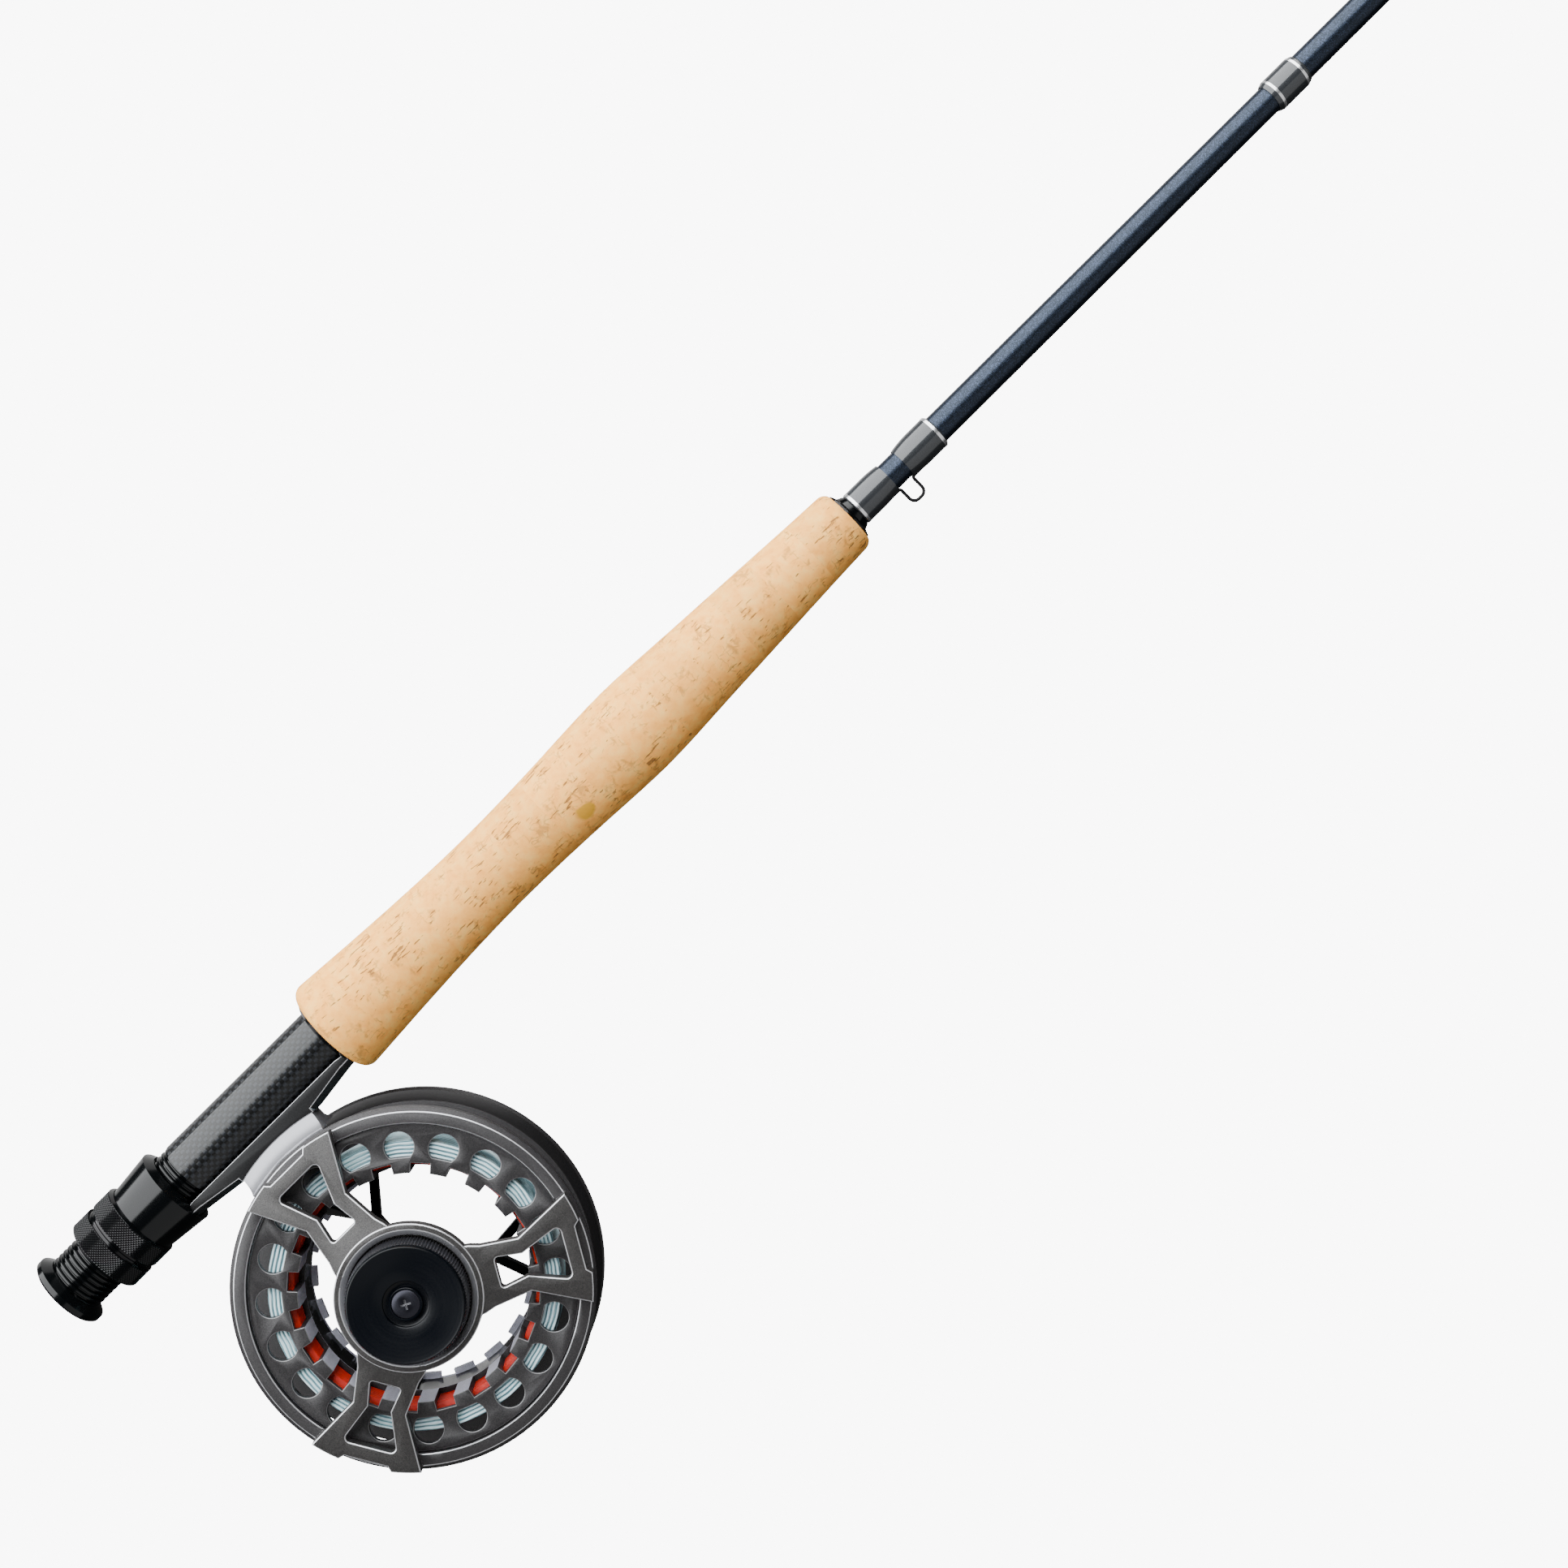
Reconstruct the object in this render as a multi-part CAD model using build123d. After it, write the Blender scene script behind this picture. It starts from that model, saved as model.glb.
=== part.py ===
from build123d import *
import os
from math import cos, radians, sin, sqrt

os.makedirs("parts", exist_ok=True)

# Four-piece 9 ft fly rod with a large-arbor, half-frame fly reel in its seat. Millimetres.
# +X runs along the rod from the butt to the tip, +Z is up and the reel hangs below the rod.
# The origin is the middle of the butt cap's end face. The reel's axle is parallel to Y: the
# frame and the drag knob are on the -Y side, the spool's back and the handle on the +Y side.

# ---------------------------------------------------------------- fits
GLUE = 0.03  # radial room for a bond line, or for a screw in its thread
RUNNING_FIT = 0.05  # radial clearance of pieces that slide or turn on each other
SEAT = 0.02  # between faces of two screwed or wound pieces that touch
RIM_GAP = 0.3  # spool rim to frame ring
TOE_ROOM = 0.3  # reel foot's toe in the sliding hood
POCKET_ROOM = 0.1  # reel foot's toe in the fixed hood
END_GAP = 0.3  # between pieces that stop against each other in use

# ---------------------------------------------------------------- rod blank
ROD_LENGTH = 2743.0
BUTT_R = 4.06  # outer radius that the taper would have at the butt end
TIP_R = 0.70
WALL_BUTT = 0.80
WALL_TIP = 0.40
FERRULE_1 = 670.0  # where each section ends, measured from the butt
FERRULE_2 = 1360.0
FERRULE_3 = 2050.0
SPIGOT_OUT = 60.0  # part of the spigot that stands out of the lower section
SPIGOT_IN = 55.0  # part that is bonded into the lower section
WRAP_T = 0.35  # thread and varnish on the blank

# ---------------------------------------------------------------- reel seat
CAP_R = 9.9
CAP_RIM_X = 1.9
CAP_NECK_R = 7.6
CAP_ROUND = 0.6
CAP_PLUG_LENGTH = 7.5
BARREL_X0 = 3.4
BARREL_R = 7.7  # over the crests of the thread
BARREL_WALL = 1.4
RING_REAR_X0 = 11.9
RING_FRONT_X0 = 19.2
RING_R = 10.35
RING_COLLAR_R = 9.5
RING_LENGTH = 7.3
RING_FRONT_LENGTH = 6.8
RING_COLLAR_LENGTH = 0.85
RING_CONE_LENGTH = 1.4
RING_CONE_R = 7.95
RING_FACE_R = 9.4
RING_CHAMFER = 0.6
HOOD_LENGTH = 11.1  # sliding hood, without its front bevel
HOOD_R_REAR = 9.2
HOOD_R_MOUTH = 10.4
HOOD_BEVEL_LENGTH = 1.3
HOOD_BEVEL_R = 8.1
HOOD_BELLY = 0.5  # how far the reel side of the hood swells out
INSERT_X0 = 42.4
INSERT_X1 = 88.6
INSERT_R = 7.9
INSERT_WALL = 0.95
FIXED_HOOD_PLATE = 1.4
FIXED_HOOD_R = 10.6
FIXED_HOOD_FACE_R = 8.0
FIXED_HOOD_LENGTH = 10.0

# ---------------------------------------------------------------- grip and wraps
GRIP_LENGTH = 176.8
GRIP_HEEL_ROUND = 3.0
GRIP_HEEL_R = 13.0
GRIP_NOSE_R = 8.5
GRIP_NOSE_END_R = 7.3
GRIP_NOSE_ROUND = 2.4
# along the grip as a share of its length, and radius there
GRIP_OUTLINE = [(0.164, 11.3), (0.311, 10.4), (0.501, 11.4), (0.591, 11.95), (0.676, 11.3), (0.835, 9.8)]
CHECK_LENGTH = 2.5
CHECK_R = 6.6
CHECK_LIP_R = 4.45
CHECK_WRAP_LENGTH = 11.1
KEEPER_GAP = 5.0
KEEPER_WRAP_LENGTH = 11.6
KEEPER_WRAP_T = 0.68
KEEPER_WIRE_R = 0.25
KEEPER_HALF_WIDTH = 2.1
KEEPER_DEPTH = 4.9
TRIM_WRAP_X0 = 410.8
TRIM_WRAP_LENGTH = 10.6

# ---------------------------------------------------------------- line guides
STRIPPER_1_BEFORE = 40.0  # from the first guide to the end of the first section
STRIPPER_1_R = 6.0  # outside of the ceramic ring
STRIPPER_2_AFTER = 190.0  # from the end of the first section to the second guide
STRIPPER_2_R = 4.9
STRIPPER_RING_T = 0.7
STRIPPER_BAND_T = 0.5
STRIPPER_BAND_WIDTH = 1.6
STRIPPER_WIRE_R = 0.45
STRIPPER_STAND = 3.2  # from the blank to the band
STRIPPER_REACH = 12.0  # along the rod from the ring to where the legs meet the feet
GUIDE_FOOT_LENGTH = 8.0
GUIDE_WRAP_GAP = 0.9  # from the bend of a guide to its wrap
SNAKE_WIRE_R = 0.4
SNAKE_HEIGHT = 5.2
SNAKE_HALF_WIDTH = 2.9
SNAKE_REACH = 4.6
# snake guides along each section, as a share of the section's length
SNAKES_2 = [0.609, 0.899]
SNAKES_3 = [0.174, 0.449, 0.710, 0.928]
SNAKES_TIP = [0.173, 0.375, 0.556, 0.707, 0.830, 0.924]
FERRULE_WRAP_LENGTH = 18.0
TIP_TOP_TUBE_LENGTH = 11.0
TIP_TOP_TUBE_WALL = 0.35
TIP_TOP_LOOP_R = 2.6
TIP_TOP_WIRE_R = 0.45

# ---------------------------------------------------------------- reel, in its own frame
# REEL_X, REEL_Z is the axle. A radius is measured from the axle, y from the rod's centre plane.
REEL_X = 62.9
REEL_Z = -57.6
FLANGE_R = 39.4  # spool flange on the frame side
FLANGE_FACE_Y = -11.7
FLANGE_T = 1.6
RIM_RING_WIDTH = 3.95  # frame ring, from its bore to its outer wall
RIM_RING_FACE_Y = -13.0
RIM_RING_REAR_Y = -9.5
RIM_RING_CHAMFER = 1.0
SADDLE_REAR_Y = -4.9  # back of the ring's wider part under the pedestal
SADDLE_HALF_ANGLE = 15.0
ARM_COUNT = 3
ARM_T = 3.2
ARM_TIP_Y = -16.8
ARM_TIP_R = 43.1
ARM_KNEE_Y = -19.0
ARM_KNEE_R = 28.4
ARM_TIP_HALF = 13.4
ARM_WAIST_HALF = 6.45
ARM_WAIST_R = 27.9
ARM_ROOT_HALF = 7.5
ARM_ROOT_R = 19.0
ARM_NOTCH_R = 41.45
ARM_NOTCH_HALF = 5.3
WINDOW_OUT_R = 37.95
WINDOW_OUT_HALF = 6.65
WINDOW_WAIST_R = 28.0
WINDOW_WAIST_HALF = 2.75
WINDOW_IN_R = 21.5
WINDOW_IN_HALF = 3.8
WINDOW_OUT_ROUND = 1.2
WINDOW_IN_ROUND = 0.8
HUB_R = 17.65
HUB_FACE_Y = -21.9
HUB_DEPTH = 3.5
HUB_BORE_R = 14.9
HUB_BEVEL = 1.2
HUB_FLOOR_Y = -19.6
HUB_BACK_Y = -16.6
HUB_BACK_R = 13.6

KNOB_R = 14.5
KNOB_RIM_R = 13.85
KNOB_FACE_Y = -28.8
KNOB_BEVEL = 1.2
KNOB_DISH = 1.1
KNOB_WELL_R = 5.5
KNOB_WELL_DEPTH = 1.2
KNOB_BOSS_R = 3.9
KNOB_WALL = 2.4
KNOB_SCREW_R = 3.4
KNOB_SCREW_HEAD = 1.4
KNOB_SCREW_SHANK_R = 1.4
KNOB_SCREW_LENGTH = 7.0

AXLE_R = 3.0
AXLE_END_Y = 11.0
DRAG_CASE_R = 12.0
DRAG_CASE_END_Y = -6.6
DRAG_CASE_WALL = 1.2
DISC_COUNT = 5
DISC_T = 1.2
SPRING_COUNT = 3
SPRING_R = 8.0
SPRING_T = 0.6

ARBOR_R = 29.0  # outside, under the backing
ARBOR_WALL = 1.4
ARBOR_END_Y = 10.0
TOOTH_COUNT = 20
TOOTH_WIDTH = 3.95
TOOTH_PHASE = -3.0
SLOT_END_Y = -1.0
BACK_TOOTH_DEPTH = 1.5
BACK_TOOTH_WIDTH = 5.0
BACK_TOOTH_T = 1.6
BACK_TOOTH_PHASE = -5.0
NOTCH_DEPTH = 1.0  # of the slots into the flange, past the arbor
HOLE_R = 3.6
HOLE_AT_R = 34.1
HOLE_FLAT = 2.7  # from the middle of each hole to its flat side
BACK_FLANGE_Y = 5.3
BACK_FLANGE_T = 1.6
PALM_R_FRONT = 42.25
PALM_R_BACK = 44.1
PALM_BEAD_R = 44.55
PALM_BEAD_Y = 11.5
PALM_END_Y = 13.0
PALM_WALL = 1.5
SPOOL_HUB_R = 7.5
SPOOL_HUB_Y0 = -6.0
SPOOL_HUB_Y1 = 11.5
BEARING_R = 5.5
BEARING_WIDTH = 3.0
CLUTCH_WIDTH = 6.0
SPOKE_COUNT = 3
SPOKE_PHASE = 87.0
SPOKE_FORK_R = 17.0
SPOKE_SPREAD = 37.5  # each branch from the stem's direction
SPOKE_WIDTH = 2.2
SPOKE_DEPTH = 3.0
CAP_DOME_R = 6.6
CAP_DOME_T = 2.6
HANDLE_PHASE = 280.0
HANDLE_AT_R = 35.4
HANDLE_BOSS_R = 4.0
HANDLE_PIN_R = 1.6
PIN_HEAD = 1.4
HANDLE_LENGTH = 23.0
HANDLE_R_ROOT = 5.0
HANDLE_R_WAIST = 4.6
HANDLE_R_END = 6.6
WEIGHT_R = 4.0
WEIGHT_T = 4.5
BACKING_R = 31.1
LINE_R = 35.6
LINE_CROWN = 0.6

# ---------------------------------------------------------------- reel foot and pedestal
PEDESTAL_HALF = 11.55  # along the rod
PEDESTAL_TOP_R = 48.15
PEDESTAL_FRONT_Y = -10.6
PEDESTAL_COLUMN_Y = 2.2
PEDESTAL_LIP_Y = 6.5
PEDESTAL_LIP_T = 0.9
PEDESTAL_LIP_RISE = 0.4
FOOT_HALF_LENGTH = 32.5
FOOT_HALF_WIDTH = 6.75
FOOT_SADDLE_R = 11.5
FOOT_SHOULDER = 12.0  # along the rod from the reel's axle to where the long arms begin to taper
FOOT_EDGE_Z = -9.75
FOOT_UNDER_Z = -11.1
FOOT_UNDER_HALF = 4.6
TOE_START = 24.0
TOE_START_EDGE_Z = -7.9
TOE_START_UNDER_Z = -9.5
TOE_HALF_WIDTH = 4.6
TOE_UNDER_HALF = 2.8
TOE_EDGE_Z = -7.6
TOE_UNDER_Z = -9.0
FOOT_SCREW_R = 0.8
FOOT_SCREW_HEAD_R = 1.3
FOOT_SCREW_HEAD_T = 0.9
FOOT_SCREW_LENGTH = 6.4
FOOT_SCREW_WALL = 0.4  # between the screw's head and the back of the saddle
FOOT_SCREW_PHASE = 10.0

# ---------------------------------------------------------------- values that follow from these
HOOD_X0 = RING_FRONT_X0 + RING_FRONT_LENGTH
HOOD_X1 = HOOD_X0 + HOOD_LENGTH
GRIP_X0 = INSERT_X1 + FIXED_HOOD_PLATE
GRIP_X1 = GRIP_X0 + GRIP_LENGTH
SEAT_X1 = INSERT_X1 + FIXED_HOOD_LENGTH
CHECK_X1 = GRIP_X1 + CHECK_LENGTH
KEEPER_X0 = CHECK_X1 + CHECK_WRAP_LENGTH
KEEPER_X1 = KEEPER_X0 + KEEPER_GAP
STRIPPER_1_X = FERRULE_1 - STRIPPER_1_BEFORE
STRIPPER_2_X = FERRULE_1 + STRIPPER_2_AFTER
BARREL_BORE_R = BARREL_R - BARREL_WALL
SLEEVE_R = INSERT_R - INSERT_WALL  # barrel under the insert and the fixed hood
BLANK_X0 = BARREL_X0 + CAP_PLUG_LENGTH + END_GAP
RIM_RING_BORE_R = FLANGE_R + RIM_GAP
RIM_RING_R = RIM_RING_BORE_R + RIM_RING_WIDTH
ARBOR_BORE_R = ARBOR_R - ARBOR_WALL
FLANGE_BACK_Y = FLANGE_FACE_Y + FLANGE_T


def blank_r(x):
    """Outer radius of the blank at x: one straight taper from butt to tip."""
    return BUTT_R + (TIP_R - BUTT_R) * x / ROD_LENGTH


def bore_r(x):
    """Inner radius of the blank at x."""
    wall = WALL_BUTT + (WALL_TIP - WALL_BUTT) * x / ROD_LENGTH
    return blank_r(x) - wall


def turned(points):
    """A solid turned about the rod's axis from (x, radius) points."""
    return revolve(make_face(Polyline(points, close=True)), Axis.X)


def reel_turned(points):
    """A solid turned about the reel's axle from (radius, y) points, in the reel's own frame."""
    return revolve(make_face(Polyline(points, close=True)), Axis.Y)


def on_reel(shape):
    """Moves a shape from the reel's own frame to the rod's."""
    return Pos(REEL_X, 0, REEL_Z) * shape


def spun(shape, angle):
    """Turns a shape about the reel's axle, from +X towards +Z."""
    return Rot(0, -angle, 0) * shape


def side_prism(points, y0, y1):
    """Extrudes an outline drawn in X and Z from y0 to y1."""
    face = Plane.XZ.offset(-y0) * make_face(Polyline(points, close=True))
    return extrude(face, amount=y0 - y1)


def rod_along(start, end, radius):
    """A round wire from one point to another."""
    length = (Vector(*end) - Vector(*start)).length
    plane = Plane(origin=start, z_dir=Vector(*end) - Vector(*start))
    return extrude(plane * Circle(radius), amount=length)


def tube_x(x0, x1, outer, inner):
    """A tube along the rod."""
    return turned([(x0, inner), (x1, inner), (x1, outer), (x0, outer)])


def sleeve(x0, x1, thickness, room):
    """A sleeve that follows the blank's taper, as a thread wrap does."""
    return turned(
        [
            (x0, blank_r(x0) + room),
            (x1, blank_r(x1) + room),
            (x1 - thickness, blank_r(x1) + thickness),
            (x0 + thickness, blank_r(x0) + thickness),
        ]
    )


# ================================================================ reel seat
def butt_cap():
    rim = [(0, 0), (0, CAP_R - CAP_ROUND), (CAP_ROUND, CAP_R), (CAP_RIM_X, CAP_R), (BARREL_X0, CAP_NECK_R)]
    plug_r = BARREL_BORE_R - GLUE
    end = BARREL_X0 + CAP_PLUG_LENGTH
    return turned(rim + [(BARREL_X0, plug_r), (end, plug_r), (end, 0)])


def seat_barrel():
    """Threaded barrel, turned down where the insert and the fixed hood sit on it."""
    return turned(
        [
            (BARREL_X0 + SEAT, BARREL_BORE_R),
            (BARREL_X0 + SEAT, BARREL_R),
            (INSERT_X0 - SEAT, BARREL_R),
            (INSERT_X0 - SEAT, SLEEVE_R - GLUE),
            (SEAT_X1, SLEEVE_R - GLUE),
            (SEAT_X1, BARREL_BORE_R),
        ]
    )


def seat_arbor():
    """Cork bushing that centres the blank in the barrel."""
    return turned(
        [
            (BLANK_X0, blank_r(BLANK_X0) + GLUE),
            (SEAT_X1, blank_r(SEAT_X1) + GLUE),
            (SEAT_X1, BARREL_BORE_R - GLUE),
            (BLANK_X0, BARREL_BORE_R - GLUE),
        ]
    )


def lock_ring(x0, length, front):
    """Knurled ring. The rear one has a cone at its back, the front one a collar."""
    bore = BARREL_R + RUNNING_FIT
    x1 = x0 + length
    if front:
        step = x0 + RING_COLLAR_LENGTH
        back = [(x0, RING_COLLAR_R), (step, RING_COLLAR_R), (step, RING_R)]
        nose = [(x1 - RING_CHAMFER, RING_R), (x1, RING_FACE_R)]
    else:
        back = [(x0, RING_CONE_R), (x0 + RING_CONE_LENGTH, RING_R)]
        step = x1 - RING_COLLAR_LENGTH
        nose = [(step, RING_R), (step, RING_COLLAR_R), (x1, RING_COLLAR_R)]
    return turned([(x0, bore)] + back + nose + [(x1, bore)])


def foot_station(reach, half, edge_z, under_half, under_z, grow):
    """One section across the foot's arm, at a distance from the axle along the rod."""
    points = [
        (-half - grow, -BARREL_R / 2),
        (-half - grow, edge_z - grow / 2),
        (-under_half - grow / 2, under_z - grow),
        (under_half + grow / 2, under_z - grow),
        (half + grow, edge_z - grow / 2),
        (half + grow, -BARREL_R / 2),
    ]
    plane = Plane(origin=(REEL_X + reach, 0, 0), x_dir=(0, 1, 0), z_dir=(1, 0, 0))
    return plane * make_face(Polyline(points, close=True))


def foot_arm(side, grow):
    """Long arm of the foot towards one hood, made bigger all round by grow."""
    stations = [
        (FOOT_SHOULDER, FOOT_HALF_WIDTH, FOOT_EDGE_Z, FOOT_UNDER_HALF, FOOT_UNDER_Z),
        (TOE_START, FOOT_HALF_WIDTH, TOE_START_EDGE_Z, FOOT_UNDER_HALF, TOE_START_UNDER_Z),
        (FOOT_HALF_LENGTH + grow, TOE_HALF_WIDTH, TOE_EDGE_Z, TOE_UNDER_HALF, TOE_UNDER_Z),
    ]
    faces = [foot_station(side * reach, *rest, grow) for reach, *rest in stations]
    return loft(faces, ruled=True)


def sliding_hood():
    """Conical hood with a swollen reel side and a pocket for the foot's rear toe."""
    bore = BARREL_R + RUNNING_FIT
    cone = [(HOOD_X0, 0), (HOOD_X0, HOOD_R_REAR), (HOOD_X1, HOOD_R_MOUTH)]
    body = turned(cone + [(HOOD_X1 + HOOD_BEVEL_LENGTH, HOOD_BEVEL_R), (HOOD_X1 + HOOD_BEVEL_LENGTH, 0)])
    body += Pos(0, 0, -HOOD_BELLY) * body
    body -= tube_x(HOOD_X0 - 1, HOOD_X1 + HOOD_BEVEL_LENGTH + 1, bore, 0)
    return body - foot_arm(-1, TOE_ROOM)


def fixed_hood():
    """Hood under the front of the grip: a dished plate and a sleeve with the toe's pocket."""
    bore = SLEEVE_R
    face = (FIXED_HOOD_R - FIXED_HOOD_FACE_R) / 2
    points = [
        (INSERT_X1 + SEAT, bore),
        (INSERT_X1 + SEAT, FIXED_HOOD_FACE_R),
        (INSERT_X1 + FIXED_HOOD_PLATE / 3, FIXED_HOOD_FACE_R + face),
        (GRIP_X0 - SEAT, FIXED_HOOD_R),
        (SEAT_X1, FIXED_HOOD_R),
        (SEAT_X1, bore),
    ]
    return turned(points) - foot_arm(1, POCKET_ROOM)


# ================================================================ grip, wraps and keeper
def cork_grip():
    """Glued cork rings, shaped as one: a full heel, a waist, a swell under the palm, a slim nose."""
    heel = (GRIP_X0 + GRIP_HEEL_ROUND, GRIP_HEEL_R)
    nose = (GRIP_X1 - GRIP_NOSE_ROUND, GRIP_NOSE_R)
    outline = [(GRIP_X0 + share * GRIP_LENGTH, radius) for share, radius in GRIP_OUTLINE]
    edge_r = FIXED_HOOD_R + GLUE
    round_heel = ThreePointArc(
        (GRIP_X0, edge_r),
        (GRIP_X0 + 0.35 * GRIP_HEEL_ROUND, edge_r + 0.75 * (GRIP_HEEL_R - edge_r)),
        heel,
    )
    top = Spline([heel, *outline, nose])
    round_nose = ThreePointArc(
        nose,
        (GRIP_X1 - 0.3 * GRIP_NOSE_ROUND, GRIP_NOSE_END_R + 0.6 * (GRIP_NOSE_R - GRIP_NOSE_END_R)),
        (GRIP_X1, GRIP_NOSE_END_R),
    )
    inside = Polyline(
        [
            (GRIP_X1, GRIP_NOSE_END_R),
            (GRIP_X1, blank_r(GRIP_X1) + GLUE),
            (SEAT_X1 + SEAT, blank_r(SEAT_X1) + GLUE),
            (SEAT_X1 + SEAT, edge_r),
            (GRIP_X0, edge_r),
        ]
    )
    return revolve(make_face([round_heel, top, round_nose, inside]), Axis.X)


def winding_check():
    """Flared metal ring that closes the front of the grip."""
    x0 = GRIP_X1 + SEAT
    middle = (CHECK_R + CHECK_LIP_R) / 2
    return turned(
        [
            (x0, blank_r(x0) + GLUE),
            (x0, CHECK_R),
            (x0 + 0.5, CHECK_R),
            (x0 + 0.45 * CHECK_LENGTH, middle - 0.4),
            (CHECK_X1 - SEAT, CHECK_LIP_R),
            (CHECK_X1 - SEAT, blank_r(CHECK_X1) + GLUE),
        ]
    )


def keeper_foot_z(x):
    """Middle of the keeper's wire where it lies on the blank."""
    return -(blank_r(x) + GLUE + KEEPER_WIRE_R)


def keeper_path():
    """Half-round loop below the blank with a foot under the wrap on each side."""
    x0 = KEEPER_X0 - CHECK_WRAP_LENGTH / 2
    x1 = KEEPER_X1 + KEEPER_WRAP_LENGTH / 2
    left = (KEEPER_X0 + KEEPER_X1) / 2 - KEEPER_HALF_WIDTH
    right = (KEEPER_X0 + KEEPER_X1) / 2 + KEEPER_HALF_WIDTH
    top = keeper_foot_z(left)
    points = [
        (x0, 0, keeper_foot_z(KEEPER_X0)),
        (left, 0, top),
        (left, 0, top - KEEPER_DEPTH),
        (right, 0, top - KEEPER_DEPTH),
        (right, 0, top),
        (x1, 0, keeper_foot_z(KEEPER_X0)),
    ]
    return FilletPolyline(*points, radius=[0.6, 1.7, 1.7, 0.6])


def hook_keeper(wire_r):
    """The keeper's wire, or with a larger radius the groove that it lies in."""
    path = keeper_path()
    section = Plane(origin=path @ 0, z_dir=path % 0) * Circle(wire_r)
    return sweep(section, path=path)


def keeper_wrap(x0, x1):
    """Wrap that binds one foot of the keeper."""
    r = blank_r(x0) + KEEPER_WRAP_T
    end = 0.5
    inner = blank_r(x0) + GLUE
    body = turned([(x0, inner), (x1, inner), (x1, r - end), (x1 - end, r), (x0 + end, r), (x0, r - end)])
    return body - hook_keeper(KEEPER_WIRE_R + GLUE / 2)


# ================================================================ blank sections
def blank_section(x0, x1, socket, spigot):
    """Hollow tapered section with a straight bore for the spigot at one or both ends."""
    start_bore = bore_r(x0)
    stop_bore = bore_r(x1)
    inside = [(x1, stop_bore)]
    if spigot:
        inside.append((x1 - SPIGOT_IN, stop_bore))
    if socket:
        inside.append((x0 + SPIGOT_OUT + 2 * END_GAP, start_bore))
    return turned([(x0, start_bore), (x0, blank_r(x0)), (x1, blank_r(x1)), *inside])


def spigot(x):
    """Solid plug bonded into the lower section, on which the upper one slides."""
    glued = bore_r(x) - GLUE
    sliding = bore_r(x + END_GAP) - RUNNING_FIT
    tip = x + SPIGOT_OUT
    return turned(
        [
            (x - SPIGOT_IN, 0),
            (x - SPIGOT_IN, glued),
            (x, glued),
            (x, sliding),
            (tip - sliding / 3, sliding),
            (tip, sliding * 0.7),
            (tip, 0),
        ]
    )


# ================================================================ line guides
def foot_wire_z(x, wire_r):
    """Middle of a guide's foot on the blank, on the reel side."""
    return -(blank_r(x) + GLUE + wire_r)


def foot_wrap(x0, x1, wire_r, z):
    """Thread over one guide foot at height z: thin round the blank, humped over the wire."""
    body = turned([(x0, 0), (x1, 0), (x1, blank_r(x0) + WRAP_T), (x0, blank_r(x0) + WRAP_T)])
    body += rod_along((x0, 0, z), (x1, 0, z), wire_r + WRAP_T)
    body -= turned([(x0 - 1, 0), (x1 + 1, 0), (x1 + 1, blank_r(x0) + GLUE), (x0 - 1, blank_r(x0) + GLUE)])
    return body - rod_along((x0 - 1, 0, z), (x1 + 1, 0, z), wire_r + SEAT)


def snake_guide(x):
    """Wire guide: two feet in line and a loop that crosses from one side of the blank to the other."""
    z = foot_wire_z(x - SNAKE_REACH - GUIDE_FOOT_LENGTH, SNAKE_WIRE_R)
    mid = SNAKE_REACH / 2
    points = [
        (x - SNAKE_REACH - GUIDE_FOOT_LENGTH, 0, z),
        (x - SNAKE_REACH, 0, z),
        (x - mid, -SNAKE_HALF_WIDTH, z - SNAKE_HEIGHT / 2),
        (x, 0, z - SNAKE_HEIGHT),
        (x + mid, SNAKE_HALF_WIDTH, z - SNAKE_HEIGHT / 2),
        (x + SNAKE_REACH, 0, z),
        (x + SNAKE_REACH + GUIDE_FOOT_LENGTH, 0, z),
    ]
    path = FilletPolyline(*points, radius=1.2)
    return sweep(Plane(origin=path @ 0, z_dir=path % 0) * Circle(SNAKE_WIRE_R), path=path)


def two_wraps(x, reach, wire_r):
    """The two wraps of one guide, over the feet that start at reach on each side of x."""
    z = foot_wire_z(x - reach - GUIDE_FOOT_LENGTH, wire_r)
    inner = x - reach - GUIDE_WRAP_GAP
    outer = x + reach + GUIDE_WRAP_GAP
    rear = foot_wrap(inner - GUIDE_FOOT_LENGTH, inner, wire_r, z)
    front = foot_wrap(outer, outer + GUIDE_FOOT_LENGTH, wire_r, z)
    return [rear, front]


def stripper_ring(x, ring_r):
    """Ceramic ring of a stripping guide."""
    z = -(blank_r(x) + STRIPPER_STAND + STRIPPER_BAND_T + ring_r)
    ring = tube_x(-STRIPPER_BAND_WIDTH / 2, STRIPPER_BAND_WIDTH / 2, ring_r, ring_r - STRIPPER_RING_T)
    return Pos(x, 0, z) * ring


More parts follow.
